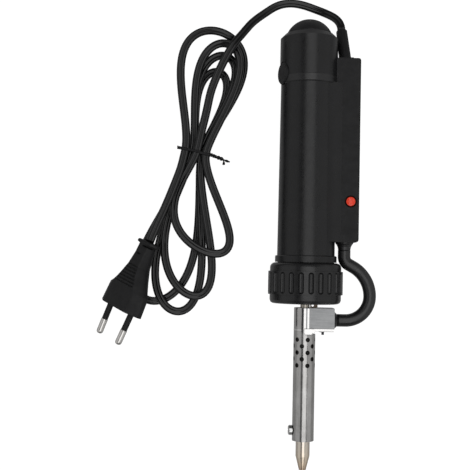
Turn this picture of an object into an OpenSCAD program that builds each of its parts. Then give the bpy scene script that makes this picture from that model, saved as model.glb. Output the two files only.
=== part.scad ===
// Desoldering pump: spring-loaded suction barrel with a heated nozzle, lying on a bench
// with its mains lead folded into a hank. Millimetres. The pump is drawn upright about
// its own axis, nozzle tip at 0, and laid down at the end.

/* [Barrel] */
// Bore in which the piston slides
bore_d = 28.4; // [26:0.1:29.5]
// Outside of the barrel just above its flange
barrel_foot_d = 33; // [31.8:0.1:36]
// Outside of the barrel at its top edge
barrel_top_d = 31.8; // [31:0.1:33]
// Length of the barrel above its flange
barrel_len = 99.3; // [95:0.1:120]
// Outside of the neck that the collar screws on
neck_d = 32.4; // [31:0.1:34]
// Length of that neck
neck_len = 17.3; // [14:0.1:20]
// Outside of the flange
flange_d = 35.3; // [34:0.1:38]
// Thickness of the flange
flange_t = 3.7; // [2:0.1:6]

/* [Top cap] */
// Outside of the cap
cap_d = 33.3; // [32.6:0.1:35]
// Length of the cap's full round
cap_len = 23; // [20:0.1:30]
// Height of the shadow groove between barrel and cap
groove_h = 2.7; // [1:0.1:4]
// Depth of that groove below the cap's outside
groove_depth = 0.95; // [0.4:0.05:1.4]
// Height of the bevel at the cap's rim
rim_bevel_h = 2.7; // [1:0.1:4]
// Length of the spigot inside the barrel
spigot_len = 8.2; // [6:0.1:12]
// Wall of the spigot and of the latch chamber
spigot_wall = 1.95; // [1.5:0.05:2.5]
// Thickness of the deck that guides the rod
deck_t = 6.1; // [4:0.1:8]

/* [Plunger] */
// Diameter of the knob's skirt
knob_d = 25.6; // [24:0.1:26.4]
// Radius of the knob's dome
dome_r = 14.2; // [13.6:0.1:18]
// Height of the knob, skirt and dome together
knob_h = 18.8; // [16:0.1:26]
// Wall of the knob
knob_wall = 1.8; // [1.2:0.1:2.6]
// Diameter of the boss in the knob
knob_boss_d = 13; // [10:0.5:16]
// Depth of the rod's socket in the knob
knob_socket = 12; // [8:0.5:14]
// Diameter of the rod
rod_d = 7; // [6:0.1:8]
// Travel of the plunger
stroke = 60; // [40:1:60]
// Length of the piston's full round
piston_len = 12; // [10:0.5:15]
// Diameter of the piston's spring boss
piston_boss_d = 18.6; // [16:0.1:18.8]
// Height of the piston's spring boss
piston_boss_h = 4; // [2:0.5:6]
// Thickness of the piston's sealing ring
piston_ring_t = 2.4; // [2:0.1:3]
// Diameter of the piston screw's shank
piston_screw_d = 3; // [2:0.1:4]

/* [Springs] */
// Mean diameter of the main spring
spring_d = 22.4; // [21.4:0.1:24]
// Wire of the main spring
spring_wire = 1.6; // [1:0.1:1.8]
// Turns of the main spring
spring_turns = 12; // [8:1:12]
// Mean diameter of the latch spring
latch_spring_d = 3; // [2.4:0.1:4]
// Wire of the latch spring
latch_spring_wire = 0.6; // [0.4:0.1:0.7]
// Turns of the latch spring
latch_spring_turns = 5; // [3:1:5]

/* [Release button] */
// Diameter of the button
button_d = 12.7; // [11:0.1:13]
// Height of the button's middle above the barrel's edge
button_rise = 4.8; // [4.6:0.1:5.6]
// Turn of the button's axis from square to the housing
button_turn = 20; // [0:1:40]
// How far the button stands proud of the cap
button_proud = 0.25; // [0:0.05:2]
// Travel of the button
button_travel = 1.2; // [0.6:0.1:1.2]
// Thickness of the button's inner flange
button_flange_t = 1.2; // [0.8:0.1:1.4]
// Thickness of the latch plate
latch_t = 1.6; // [1:0.1:1.8]
// Width of the latch plate
latch_w = 11; // [10:0.5:12]

/* [Collar] */
// Outside over the grip ribs
collar_d = 42.7; // [41:0.1:46]
// Outside of the plain bands beside the ribs
collar_band_d = 40.8; // [39:0.1:41]
// Length of the collar
collar_len = 23.3; // [20:0.1:26]
// Rounding of the collar's shoulder
shoulder_r = 3; // [1:0.1:4]
// Length of the ribbed band
rib_len = 13.2; // [8:0.1:14]
// Height of the ribbed band above the collar's lower face
rib_rise = 5.2; // [3:0.1:6]
// Number of grip ribs
rib_count = 24; // [16:1:30]
// Width of a groove between two ribs
rib_groove_w = 3.2; // [1.6:0.1:3.4]
// Turn of the first groove from the housing's side
rib_turn = 4.3; // [0:0.1:15]
// Thickness of the collar's inner lip
lip_t = 2.7; // [2:0.1:4]

/* [Front plug] */
// Diameter of the hub that shows inside the collar's lip
hub_d = 19.4; // [18:0.1:26]
// Thickness of the plug's flange
plug_flange_t = 3; // [2:0.1:5]
// Length of the snout inside the barrel
snout_len = 10.4; // [9:0.1:13]
// Thickness of the front seal
front_seal_t = 2.2; // [1.8:0.1:2.8]

/* [Heater] */
// Reach of the nozzle in front of the shroud
nozzle_reach = 16.7; // [12:0.1:24]
// Diameter of the nozzle's tip
tip_d = 3.9; // [3:0.1:5]
// Bore of the nozzle's tip
tip_bore_d = 1.5; // [1:0.1:2]
// Length of the nozzle's cone
cone_len = 8; // [5:0.5:10]
// Diameter of the nozzle behind its cone
nozzle_d = 8; // [6:0.1:9]
// Length of the nozzle's shank inside the shroud
shank_len = 16; // [12:0.5:20]
// Outside of the heater's shroud
shroud_d = 12.4; // [12:0.1:14]
// Sheet of the shroud
shroud_t = 0.5; // [0.4:0.05:0.6]
// Length of the shroud's full round
shroud_len = 60.6; // [58:0.1:70]
// Length of the half round that runs on behind the bracket
half_len = 14.9; // [14:0.1:20]
// Diameter of a vent hole
vent_d = 2.6; // [2:0.1:3]
// Pitch of the vent holes along the shroud
vent_pitch = 7.3; // [6:0.1:9]
// Diameter of the ceramic heater
core_d = 10.4; // [9:0.1:11]
// Bore of the ceramic heater
core_bore_d = 5.6; // [5.4:0.1:7]
// Outside of the suction tube
tube_d = 5.3; // [4.6:0.1:5.4]
// Bore of the suction tube
tube_bore_d = 3.5; // [2.5:0.1:4]
// Diameter of the nozzle's set screw
set_screw_d = 3; // [2:0.1:4]
// Diameter of the set screw's head
set_screw_head_d = 5.7; // [4.5:0.1:6]

/* [Heater bracket] */
// Reach of the bracket from the pump's axis
bracket_reach = 16.4; // [15:0.1:22]
// Height of the bracket's walls
bracket_h = 11.7; // [11.5:0.1:15]
// Sheet of the bracket
bracket_t = 0.6; // [0.4:0.1:0.8]
// Width of the tab that holds the bracket to the plug
tab_w = 4.2; // [3:0.1:6]
// Thickness of that tab
tab_t = 1; // [0.6:0.1:1.5]
// Distance from the bracket to the front plug
tab_gap = 2.7; // [2.4:0.1:6]

/* [Side housing] */
// Reach of the housing from the pump's axis
housing_reach = 29.5; // [29:0.1:34]
// Thickness of the housing, front to back
housing_w = 12.8; // [12:0.1:16]
// Height of the housing's lower end above the barrel's flange
housing_rise = 8; // [6:0.1:14]
// Length of the housing
housing_len = 105.6; // [98:0.1:106]
// Wall of the housing
housing_wall = 1.5; // [1.2:0.1:2]
// Thickness of the back cover
cover_t = 1.8; // [1.4:0.1:2]
// Rounding of the upper corner
corner_top_r = 1.5; // [1.2:0.1:4]
// Rounding of the lower corner
corner_foot_r = 2; // [1.2:0.1:4]
// Diameter of the cover screws
cover_screw_d = 2; // [1.6:0.1:2.4]
// Height of the indicator above the housing's lower end
lens_rise = 23.3; // [12:0.1:40]
// Diameter of the indicator lens
lens_d = 5.6; // [4:0.1:6]

/* [Leads] */
// Diameter of the heater lead
lead_d = 6.8; // [6:0.1:7]
// Furthest reach of the heater lead's middle
lead_reach = 37; // [35:0.1:42]
// Bend of the lead in front of the bracket
lead_bend_low = 13.9; // [11:0.1:15]
// Bend of the lead beside the collar
lead_bend_mid = 19.2; // [17:0.1:20]
// Bend of the lead below the housing
lead_bend_high = 4.8; // [4:0.1:6]
// Straight run of the lead between its upper bends
lead_slant = 3; // [1:0.1:4]
// Distance of the lead's exit from the pump's axis
lead_exit_x = 22; // [21.8:0.1:22.4]
// Diameter of the strain relief at its base
boot_d = 7; // [6.4:0.1:7.2]
// Diameter of the strain relief at its end
boot_end_d = 6.4; // [5.6:0.1:6.6]
// Length of the strain relief
boot_len = 20; // [16:0.5:26]

/* [Mains lead] */
// Width of the flat twin lead
cord_w = 4.8; // [4.4:0.1:5]
// Thickness of the flat twin lead
cord_t = 2.7; // [2.4:0.1:2.8]
// Width of the twist tie
tie_w = 2; // [1.5:0.1:3]
// Thickness of the twist tie
tie_t = 0.8; // [0.5:0.1:0.9]

/* [Mains plug] */
// Diameter of a pin's bare end
pin_d = 4; // [3.8:0.05:4.2]
// Length of a pin beyond the plug's face
pin_len = 19; // [17:0.1:20]
// Length of a pin's insulating sleeve
sleeve_len = 10; // [8:0.1:11]
// Distance between the pins at the plug's face
pin_pitch = 18.6; // [18:0.1:19.2]
// Angle by which each pin leans inward
pin_lean = 1.7; // [0:0.1:2.5]
// Length of the plug's body
plug_len = 42; // [38:0.5:46]

/* [Hidden] */
$fn = 64;

// Clearances
slide_gap = 0.3;      // between pieces that move past each other
seat_gap = 0.1;       // between fixed pieces on curved seats
press_gap = 0.05;     // around a spigot, a rod in its socket or a tube in its socket
seal_gap = 0.1;       // between a sealing ring and the bore

// Radii
bore_r = bore_d / 2;
cap_r = cap_d / 2;
collar_r = collar_d / 2;
rod_r = rod_d / 2;
shroud_r = shroud_d / 2;
tube_r = tube_d / 2;
wire_r = 0.6;
lead_r = lead_d / 2;
groove_r = cap_r - groove_depth;
chamber_r = bore_r - press_gap - spigot_wall;
button_r = button_d / 2;
button_hole_r = button_r + slide_gap;
button_flange_r = button_hole_r + 0.45;

// Heights along the axis, from the nozzle tip
shroud_z = nozzle_reach;
half_z = shroud_z + shroud_len;
shroud_top = half_z + half_len;
bracket_z = shroud_top - bracket_h;
hub_z = shroud_top + tab_gap;
collar_z = hub_z - slide_gap;
plug_flange_z = collar_z + lip_t + slide_gap;
snout_z = plug_flange_z + plug_flange_t;
barrel_z = snout_z + slide_gap;
flange_z = barrel_z + neck_len;
barrel_foot_z = flange_z + flange_t;
barrel_top = barrel_foot_z + barrel_len;
cap_z = barrel_top + groove_h;
cap_shoulder = cap_z + cap_len;
cap_top = cap_shoulder + rim_bevel_h;
spigot_z = barrel_top - spigot_len;
button_z = barrel_top + button_rise;
deck_z = button_z + button_flange_r + slide_gap;
deck_top = deck_z + deck_t;
knob_z = deck_top + slide_gap;
knob_top = knob_z + knob_h;
snout_top = snout_z + snout_len;
piston_top = spigot_z - stroke - 1;
piston_z = piston_top - piston_len;
housing_z = barrel_foot_z + housing_rise;
housing_top = housing_z + housing_len;
lens_z = housing_z + lens_rise;

// The pump lies on its collar's ribs and its cap
rib_z = collar_z + rib_rise;
rib_top = rib_z + rib_len;
tilt = atan((collar_r - cap_r) / (cap_shoulder - rib_top));
lift = collar_r * cos(tilt) + rib_top * sin(tilt);
shift_x = (lead_reach + lead_r - collar_r) / 2;
shift_y = ((knob_top - dome_r) * cos(tilt) + dome_r - tip_d / 2 * sin(tilt)) / 2;

module laid() {
    translate([-shift_x, -shift_y, lift]) rotate([-(90 + tilt), 0, 0]) children();
}

// ---- Shapes used more than once ----

// A tube or ring between two heights
module ring(outer, inner, z0, z1) {
    difference() {
        translate([0, 0, z0]) cylinder(r = outer, h = z1 - z0);
        translate([0, 0, z0 - 1]) cylinder(r = inner, h = z1 - z0 + 2);
    }
}

// A sealing ring lying in its groove
module seal(outer, thickness, z) {
    translate([0, 0, z]) rotate_extrude()
        translate([outer - thickness / 2, 0]) circle(d = thickness, $fn = 32);
}

// A rectangle with its own radius at each corner, from the lower left round to the upper left
module rounded(x0, x1, y0, y1, r) {
    difference() {
        translate([x0, y0]) square([x1 - x0, y1 - y0]);
        if (r[0] > 0) corner(x0, y0, r[0], 0);
        if (r[1] > 0) corner(x1, y0, r[1], 90);
        if (r[2] > 0) corner(x1, y1, r[2], 180);
        if (r[3] > 0) corner(x0, y1, r[3], 270);
    }
}

// What a rounded corner takes off a square one
module corner(x, y, r, turn) {
    translate([x, y]) rotate(turn) difference() {
        translate([-1, -1]) square(r + 1);
        translate([r, r]) circle(r = r);
    }
}

// Places its children on the button's axis, which then points inward along +X
module on_button_axis() {
    translate([0, 0, button_z]) rotate([0, 0, button_turn]) children();
}

// A turned piece whose axis lies along +X
module along_x() {
    rotate([0, 90, 0]) children();
}

// A straight insulated wire between two points
module wire(a, b, r) {
    d = b - a;
    translate(a) rotate([0, acos(d[2] / norm(d)), atan2(d[1], d[0])])
        cylinder(r = r, h = norm(d), $fn = 24);
}

// A wire spring along +Z, as one tube with square ends
function spring_turn_points(mean_r, wire_r, turns, h, n) = [
    for (i = [0:turns * n]) let (
        t = i / (turns * n),
        a = 360 * i / n,
        z = wire_r + t * (h - 2 * wire_r)
    ) for (k = [0:5]) let (b = 60 * k + 30)
        [(mean_r + wire_r * cos(b)) * cos(a), (mean_r + wire_r * cos(b)) * sin(a), z + wire_r * sin(b)]
];

function tube_faces(rings, sides) = concat(
    [[for (k = [0:sides - 1]) k]],
    [for (i = [0:rings - 2]) for (k = [0:sides - 1]) let (
        a = i * sides + k,
        b = i * sides + (k + 1) % sides
    ) each [[a, a + sides, b], [b, a + sides, b + sides]]],
    [[for (k = [sides - 1:-1:0]) (rings - 1) * sides + k]]
);

module coil_spring(mean_d, wire_d, turns, h) {
    rings_per_turn = 8;
    polyhedron(
        spring_turn_points(mean_d / 2, wire_d / 2, turns, h, rings_per_turn),
        tube_faces(turns * rings_per_turn + 1, 6)
    );
}

// ---- Barrel and cap ----

// Inner end of the button's flange, measured inward from the pump's axis
button_flange_x = sqrt(chamber_r * chamber_r - button_flange_r * button_flange_r) - slide_gap;
latch_start = button_flange_t - button_flange_x;
latch_spring_room = 4.2;
latch_end = chamber_r - latch_spring_room;

module button_hole() {
    on_button_axis() translate([-cap_r - 3, 0, 0]) along_x()
        cylinder(r = button_hole_r, h = cap_r + 3 - chamber_r * 0.6);
}

module barrel() {
    edge = 0.4;
    color("#2c2c2e") laid() difference() {
        rotate_extrude() polygon([
            [bore_r, barrel_z], [neck_d / 2 - edge, barrel_z], [neck_d / 2, barrel_z + edge],
            [neck_d / 2, flange_z], [flange_d / 2, flange_z], [flange_d / 2, barrel_foot_z - edge],
            [flange_d / 2 - edge, barrel_foot_z], [barrel_foot_d / 2, barrel_foot_z],
            [barrel_top_d / 2, barrel_top], [bore_r, barrel_top],
        ]);
        button_hole();
    }
}

rim_r = knob_d / 2 + slide_gap;

module top_cap() {
    rim_edge = 0.8;
    bevel = cap_r - rim_r - rim_edge;
    color("#303032") laid() {
        difference() {
            rotate_extrude() polygon([
                [rod_r + seal_gap, deck_z], [chamber_r, deck_z], [chamber_r, spigot_z],
                [bore_r - press_gap, spigot_z], [bore_r - press_gap, barrel_top],
                [groove_r, barrel_top], [groove_r, cap_z], [cap_r, cap_z], [cap_r, cap_shoulder],
                [cap_r - bevel, cap_top], [rim_r, cap_top], [rim_r, deck_top],
                [rod_r + seal_gap, deck_top],
            ]);
            button_hole();
        }
        latch_rails();
    }
}

// Ledges on the chamber's wall that carry the latch plate
module latch_rails() {
    rail_h = 1;
    rail_reach = 1.2;
    rail_start = latch_start + button_travel + slide_gap;
    intersection() {
        translate([0, 0, spigot_z]) cylinder(r = chamber_r + spigot_wall / 2, h = deck_z - spigot_z);
        on_button_axis() for (side = [-1, 1], level = [-1, 1])
            translate([
                rail_start,
                side > 0 ? latch_w / 2 - rail_reach : -chamber_r - spigot_wall,
                level > 0 ? latch_t / 2 + slide_gap : -latch_t / 2 - slide_gap - rail_h
            ])
                cube([latch_end - rail_start, chamber_r + spigot_wall - latch_w / 2 + rail_reach, rail_h]);
    }
}

module release_button() {
    face_x = cap_r + button_proud;
    edge = 0.5;
    color("#262628") laid() on_button_axis() translate([-face_x, 0, 0]) along_x() rotate_extrude() polygon([
        [0, 0], [button_r - edge, 0], [button_r, edge], [button_r, face_x - button_flange_x],
        [button_flange_r, face_x - button_flange_x], [button_flange_r, face_x + latch_start],
        [0, face_x + latch_start],
    ]);
}

latch_hole_r = rod_r + slide_gap + button_travel / 2;

module latch_plate() {
    color("#9a9c9e") laid() on_button_axis() difference() {
        translate([latch_start, -latch_w / 2, -latch_t / 2])
            cube([latch_end - latch_start, latch_w, latch_t]);
        translate([-button_travel / 2, 0, -latch_t]) cylinder(r = latch_hole_r, h = 2 * latch_t);
    }
}

module latch_spring() {
    wall_x = sqrt(chamber_r * chamber_r - pow(latch_spring_d / 2 + latch_spring_wire, 2));
    color("#b4b6b8") laid() on_button_axis() translate([latch_end + press_gap, 0, 0]) along_x()
        coil_spring(latch_spring_d, latch_spring_wire, latch_spring_turns,
            wall_x - latch_end - 2 * press_gap);
}

// ---- Plunger ----

module plunger_knob() {
    skirt_r = knob_d / 2;
    dome_z = knob_top - dome_r;
    inner_r = dome_r - knob_wall;
    boss_r = knob_boss_d / 2;
    color("#2a2a2c") laid() difference() {
        intersection() {
            translate([0, 0, knob_z]) cylinder(r = skirt_r, h = knob_h);
            union() {
                translate([0, 0, dome_z]) sphere(r = dome_r, $fn = 96);
                translate([0, 0, knob_z]) cylinder(r = skirt_r, h = dome_z - knob_z);
            }
        }
        difference() {
            intersection() {
                translate([0, 0, knob_z - 1]) cylinder(r = skirt_r - knob_wall, h = knob_h);
                union() {
                    translate([0, 0, dome_z]) sphere(r = inner_r, $fn = 96);
                    translate([0, 0, knob_z - 1]) cylinder(r = skirt_r - knob_wall, h = dome_z - knob_z + 1);
                }
            }
            translate([0, 0, knob_z - 2]) cylinder(r = boss_r, h = knob_h + 2);
        }
        translate([0, 0, knob_z - 1]) cylinder(r = rod_r + press_gap, h = knob_socket + 1);
    }
}

piston_socket_z = piston_z + piston_len / 2;
rod_top = knob_z + knob_socket;
piston_screw_bite = 10;
piston_screw_top = piston_socket_z + piston_screw_bite;

module plunger_rod() {
    notch_depth = 0.9;
    notch_h = latch_t + 0.4;
    color("#c8cacc") laid() difference() {
        translate([0, 0, piston_socket_z]) cylinder(r = rod_r, h = rod_top - piston_socket_z);
        translate([0, 0, piston_socket_z - 1])
            cylinder(d = piston_screw_d + 2 * press_gap, h = piston_screw_top - piston_socket_z + 1);
        ring(rod_r + 1, rod_r - notch_depth, button_z - notch_h / 2, button_z + notch_h / 2);
    }
}

module piston() {
    piston_r = bore_r - slide_gap;
    groove_floor = bore_r - seal_gap - piston_ring_t - press_gap;
    groove_half = piston_ring_t / 2 + press_gap;
    ring_z = piston_socket_z;
    edge = 0.6;
    color("#3a3a3c") laid() rotate_extrude() polygon([
        [piston_screw_d / 2 + press_gap, piston_z - piston_boss_h],
        [piston_boss_d / 2, piston_z - piston_boss_h], [piston_boss_d / 2, piston_z],
        [piston_r - edge, piston_z], [piston_r, piston_z + edge], [piston_r, ring_z - groove_half],
        [groove_floor, ring_z - groove_half], [groove_floor, ring_z + groove_half],
        [piston_r, ring_z + groove_half], [piston_r, piston_top - edge],
        [piston_r - edge, piston_top], [rod_r + press_gap, piston_top],
        [rod_r + press_gap, piston_socket_z], [piston_screw_d / 2 + press_gap, piston_socket_z],
    ]);
}

module piston_ring() {
    color("#1c1c1e") laid() seal(bore_r - seal_gap, piston_ring_t, piston_socket_z);
}

module piston_screw() {
    head_h = 1.8;
    seat = piston_z - piston_boss_h;
    color("#b8babc") laid() {
        translate([0, 0, seat - head_h]) cylinder(d = 2 * piston_screw_d, h = head_h);
        translate([0, 0, seat]) cylinder(d = piston_screw_d, h = piston_screw_top - seat);
    }
}

module main_spring() {
    color("#b4b6b8") laid() translate([0, 0, snout_top + seat_gap])
        coil_spring(spring_d, spring_wire, spring_turns, piston_z - snout_top - 2 * seat_gap);
}

// ---- Collar and front plug ----

module collar_nut() {
    band_r = collar_band_d / 2;
    bore = neck_d / 2 + slide_gap;
    lower_edge = 2;
    top_z = collar_z + collar_len;
    color("#2a2a2c") laid() difference() {
        rotate_extrude() polygon([
            [hub_d / 2 + slide_gap, collar_z], [band_r - lower_edge, collar_z],
            [band_r - 0.6, collar_z + 0.6], [band_r, collar_z + lower_edge], [band_r, rib_z],
            [collar_r, rib_z], [collar_r, rib_top], [band_r, rib_top],
            each [for (a = [0:15:90]) [
                band_r - shoulder_r * (1 - cos(a)), top_z - shoulder_r * (1 - sin(a))
            ]], [bore, top_z],
            [bore, collar_z + lip_t], [hub_d / 2 + slide_gap, collar_z + lip_t],
        ]);
        for (i = [0:rib_count - 1]) rotate([0, 0, rib_turn + i * 360 / rib_count]) rib_groove();
    }
}

// A groove with round ends between two ribs
module rib_groove() {
    r = rib_groove_w / 2;
    inset = 0.5;
    lift_out = 0.4;
    translate([collar_r + lift_out, 0, 0]) {
        translate([0, 0, rib_z + inset + r]) cylinder(r = r, h = rib_len - 2 * (inset + r), $fn = 24);
        for (z = [rib_z + inset + r, rib_top - inset - r]) translate([0, 0, z]) sphere(r = r, $fn = 24);
    }
}

module front_plug() {
    snout_r = bore_r - slide_gap;
    groove_floor = bore_r - seal_gap - front_seal_t - press_gap;
    groove_half = front_seal_t / 2 + press_gap;
    edge = 0.8;
    color("#b9b29c") laid() difference() {
        rotate_extrude() polygon([
            [tube_r + press_gap, hub_z], [hub_d / 2, hub_z], [hub_d / 2, plug_flange_z],
            [neck_d / 2, plug_flange_z], [neck_d / 2, snout_z], [snout_r, snout_z],
            [snout_r, front_seal_z - groove_half], [groove_floor, front_seal_z - groove_half],
            [groove_floor, front_seal_z + groove_half], [snout_r, front_seal_z + groove_half],
            [snout_r, snout_top - edge], [snout_r - edge, snout_top],
            [tube_bore_d / 2, snout_top], [tube_bore_d / 2, tube_socket_z],
            [tube_r + press_gap, tube_socket_z],
        ]);
        tab_slot();
    }
}

front_seal_rise = 4.9;
front_seal_z = snout_z + front_seal_rise;

module front_seal() {
    color("#a8432c") laid() seal(bore_r - seal_gap, front_seal_t, front_seal_z);
}

tab_x = tube_r + 0.35;
tab_depth = 2.4;

module tab_slot() {
    translate([tab_x - press_gap, -tab_t / 2 - press_gap, hub_z - 1])
        cube([tab_w + 2 * press_gap, tab_t + 2 * press_gap, 1 + tab_depth + press_gap]);
}

// ---- Heater and nozzle ----

shank_inset = 1.3;    // behind the shroud's front edge
nozzle_socket = 10;   // depth of the tube in the nozzle
tube_socket = 5.4;    // depth of the tube in the front plug
core_reach = 10.7;    // of the ceramic into the half round
shank_z = shroud_z + shank_inset;
shank_top = shank_z + shank_len;
tube_z = shank_top - nozzle_socket;
tube_socket_z = snout_z + tube_socket;
core_z = shank_top + slide_gap;
core_top = half_z + core_reach;

module suction_tube() {
    color("#c9c4b8") laid() ring(tube_r, tube_bore_d / 2, tube_z + press_gap, tube_socket_z - press_gap);
}

module nozzle() {
    tip_bore_len = 3;
    shank_r = shroud_r - shroud_t - press_gap;
    color("#c9a878") laid() difference() {
        rotate_extrude() polygon([
            [tip_bore_d / 2, 0], [tip_d / 2, 0], [nozzle_d / 2, cone_len], [nozzle_d / 2, shank_z],
            [shank_r, shank_z], [shank_r, shank_top], [tube_r + press_gap, shank_top],
            [tube_r + press_gap, tube_z], [tube_bore_d / 2, tube_z],
            [tube_bore_d / 2, tip_bore_len + 1], [tip_bore_d / 2, tip_bore_len],
        ]);
        set_screw_hole(press_gap);
    }
}

set_screw_rise = 4.4;
set_screw_z = shank_z + set_screw_rise;
set_screw_end = 3.2;

module set_screw_hole(gap) {
    translate([-shroud_r - 3, 0, set_screw_z]) along_x()
        cylinder(d = set_screw_d + 2 * gap, h = shroud_r + 3 - set_screw_end + gap);
}

module nozzle_set_screw() {
    head_h = 2.3;
    slot_w = 0.8;
    color("#c4c6c8") laid() difference() {
        union() {
            translate([-shroud_r - press_gap - head_h, 0, set_screw_z]) along_x() {
                cylinder(d1 = set_screw_head_d - 1.4, d2 = set_screw_head_d, h = 0.6);
                translate([0, 0, 0.6]) cylinder(d = set_screw_head_d, h = head_h - 0.6);
            }
            translate([-shroud_r - head_h / 2, 0, set_screw_z]) along_x()
                cylinder(d = set_screw_d, h = shroud_r + head_h / 2 - set_screw_end);
        }
        translate([-shroud_r - head_h - 1, -set_screw_head_d, set_screw_z - slot_w / 2])
            cube([1.8, 2 * set_screw_head_d, slot_w]);
    }
}

module heater_shroud() {
    inner_r = shroud_r - shroud_t;
    first_vent = half_z - 3.1;
    color("#b6b8ba") laid() difference() {
        ring(shroud_r, inner_r, shroud_z, shroud_top);
        translate([0, -shroud_d, half_z]) cube([shroud_d, 2 * shroud_d, half_len + 1]);
        for (turn = [0:2]) rotate([0, 0, 60 * turn]) {
            for (row = [0:2]) vent(-46, first_vent - row * vent_pitch);
            for (row = [0:1]) vent(-17, first_vent - (row + 0.5) * vent_pitch);
        }
        set_screw_hole(press_gap);
    }
}

// A pair of vent holes drilled right through the shroud
module vent(angle, z) {
    translate([0, 0, z]) rotate([0, 0, angle]) rotate([90, 0, 0])
        cylinder(d = vent_d, h = shroud_d + 2, center = true, $fn = 32);
}

module heater_core() {
    color("#e6ded0") laid() ring(core_d / 2, core_bore_d / 2, core_z, core_top);
}

wire_rise = 4.8;
wire_z = bracket_z + wire_rise;
cuff_x = bracket_reach;
cuff_neck_r = lead_r - 0.1;
cuff_flange_t = 1.5;
cuff_flare = 2.1;
cuff_end = cuff_x + cuff_flare;
cuff_inner_x = cuff_x - bracket_t - cuff_flange_t;

module heater_wires() {
    spread = 1.4;
    inner_y = spread - wire_r;
    start = sqrt(core_d * core_d / 4 - inner_y * inner_y) + press_gap;
    color("#e8e4da") laid() for (side = [-1, 1])
        translate([start, side * spread, wire_z]) along_x()
            cylinder(r = wire_r, h = cuff_inner_x - start, $fn = 24);
}

module heater_bracket() {
    inner_y = shroud_r + press_gap;
    outer_y = inner_y + bracket_t;
    wall_x = 0.3;
    lip = 1.5;
    color("#a9abac") laid() {
        difference() {
            translate([wall_x, -outer_y, bracket_z]) cube([cuff_x - wall_x, 2 * outer_y, bracket_h]);
            translate([wall_x - 1, -inner_y, bracket_z - 1])
                cube([cuff_x - bracket_t - wall_x + 1, 2 * inner_y, bracket_h - bracket_t + 1]);
            cylinder(r = tube_r + slide_gap, h = shroud_top + 1);
            translate([cuff_inner_x, 0, wire_z]) along_x() cylinder(r = cuff_neck_r + press_gap, h = 5);
        }
        for (side = [-1, 1]) translate([0, side * outer_y, bracket_z]) folded_lip(side, wall_x + 7, lip);
        difference() {
            translate([tab_x, -tab_t / 2, shroud_top - bracket_t / 2])
                cube([tab_w, tab_t, hub_z + tab_depth - shroud_top + bracket_t / 2]);
            translate([tab_x + 1.4, 0, shroud_top + tab_gap / 2]) rotate([90, 0, 0])
                cylinder(d = 1.5, h = 2 * tab_t, center = true, $fn = 24);
        }
    }
}

// The folded lip below a wall of the bracket, leaning outward
module folded_lip(side, x0, reach) {
    bottom = side > 0 ? [[0, 0], [-bracket_t, 0], [0, -reach], [bracket_t, -reach]]
        : [[0, 0], [bracket_t, 0], [0, -reach], [-bracket_t, -reach]];
    translate([x0, 0, 0]) rotate([90, 0, 90]) linear_extrude(cuff_x - x0 - 0.5) polygon(bottom);
}

bracket_screw_x = 8.2;

module bracket_screw() {
    shank_r = 0.9;
    head_r = 1.6;
    nut_y = shroud_r + press_gap;
    color("#3c3c3e") laid() translate([bracket_screw_x, 0, bracket_z + 1.2]) rotate([90, 0, 0]) {
        cylinder(r = shank_r, h = 2 * nut_y, center = true, $fn = 24);
        translate([0, 0, nut_y - 1.2]) cylinder(r = head_r, h = 1.2, $fn = 32);
        translate([0, 0, -nut_y]) cylinder(r = head_r, h = 1.2, $fn = 6);
    }
}

module lead_cuff() {
    flare_r = lead_r + 1.7;
    color("#2c2c2e") laid() translate([0, 0, wire_z]) along_x() rotate_extrude() polygon([
        [0, cuff_inner_x], [cuff_neck_r + 0.8, cuff_inner_x],
        [cuff_neck_r + 0.8, cuff_inner_x + cuff_flange_t - press_gap],
        [cuff_neck_r, cuff_inner_x + cuff_flange_t - press_gap], [cuff_neck_r, cuff_x + press_gap],
        [flare_r, cuff_x + press_gap], [flare_r - 0.2, cuff_x + 0.5],
        [lead_r, cuff_end], [0, cuff_end],
    ]);
}

// ---- Side housing ----

// The space that the barrel and cap take out of the housing
module pump_space() {
    slope = (barrel_foot_d - barrel_top_d) / 2 / barrel_len;
    rotate_extrude() polygon([
        [0, barrel_foot_z - 1], [barrel_foot_d / 2 + slope + seat_gap, barrel_foot_z - 1],
        [barrel_top_d / 2 + seat_gap, barrel_top], [cap_r + seat_gap, barrel_top],
        [cap_r + seat_gap, cap_top], [0, cap_top],
    ]);
}

housing_x = 13;
cavity_x = max(cap_r, barrel_foot_d / 2) + seat_gap + housing_wall;
cavity_end = housing_reach - housing_wall;
cover_y = housing_w / 2 - cover_t;

// The closed outside of housing and cover together
module housing_block() {
    edge = 1;
    half_w = housing_w / 2;
    difference() {
        intersection() {
            translate([0, half_w, 0]) rotate([90, 0, 0]) linear_extrude(housing_w)
                rounded(housing_x, housing_reach, housing_z, housing_top,
                    [0, corner_foot_r, corner_top_r, 0]);
            translate([0, 0, housing_z]) linear_extrude(housing_len)
                rounded(housing_x, housing_reach, -half_w, half_w, [0, edge, edge, 0]);
        }
        pump_space();
    }
}

boss_r = cover_screw_d / 2 + 0.9;
boss_sink = 0.4;      // into the housing's wall
screw_x = cavity_end + boss_sink - boss_r;
screw_inset = 6.6;    // from the housing's ends
screw_heights = [housing_z + screw_inset, housing_top - screw_inset];

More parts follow.
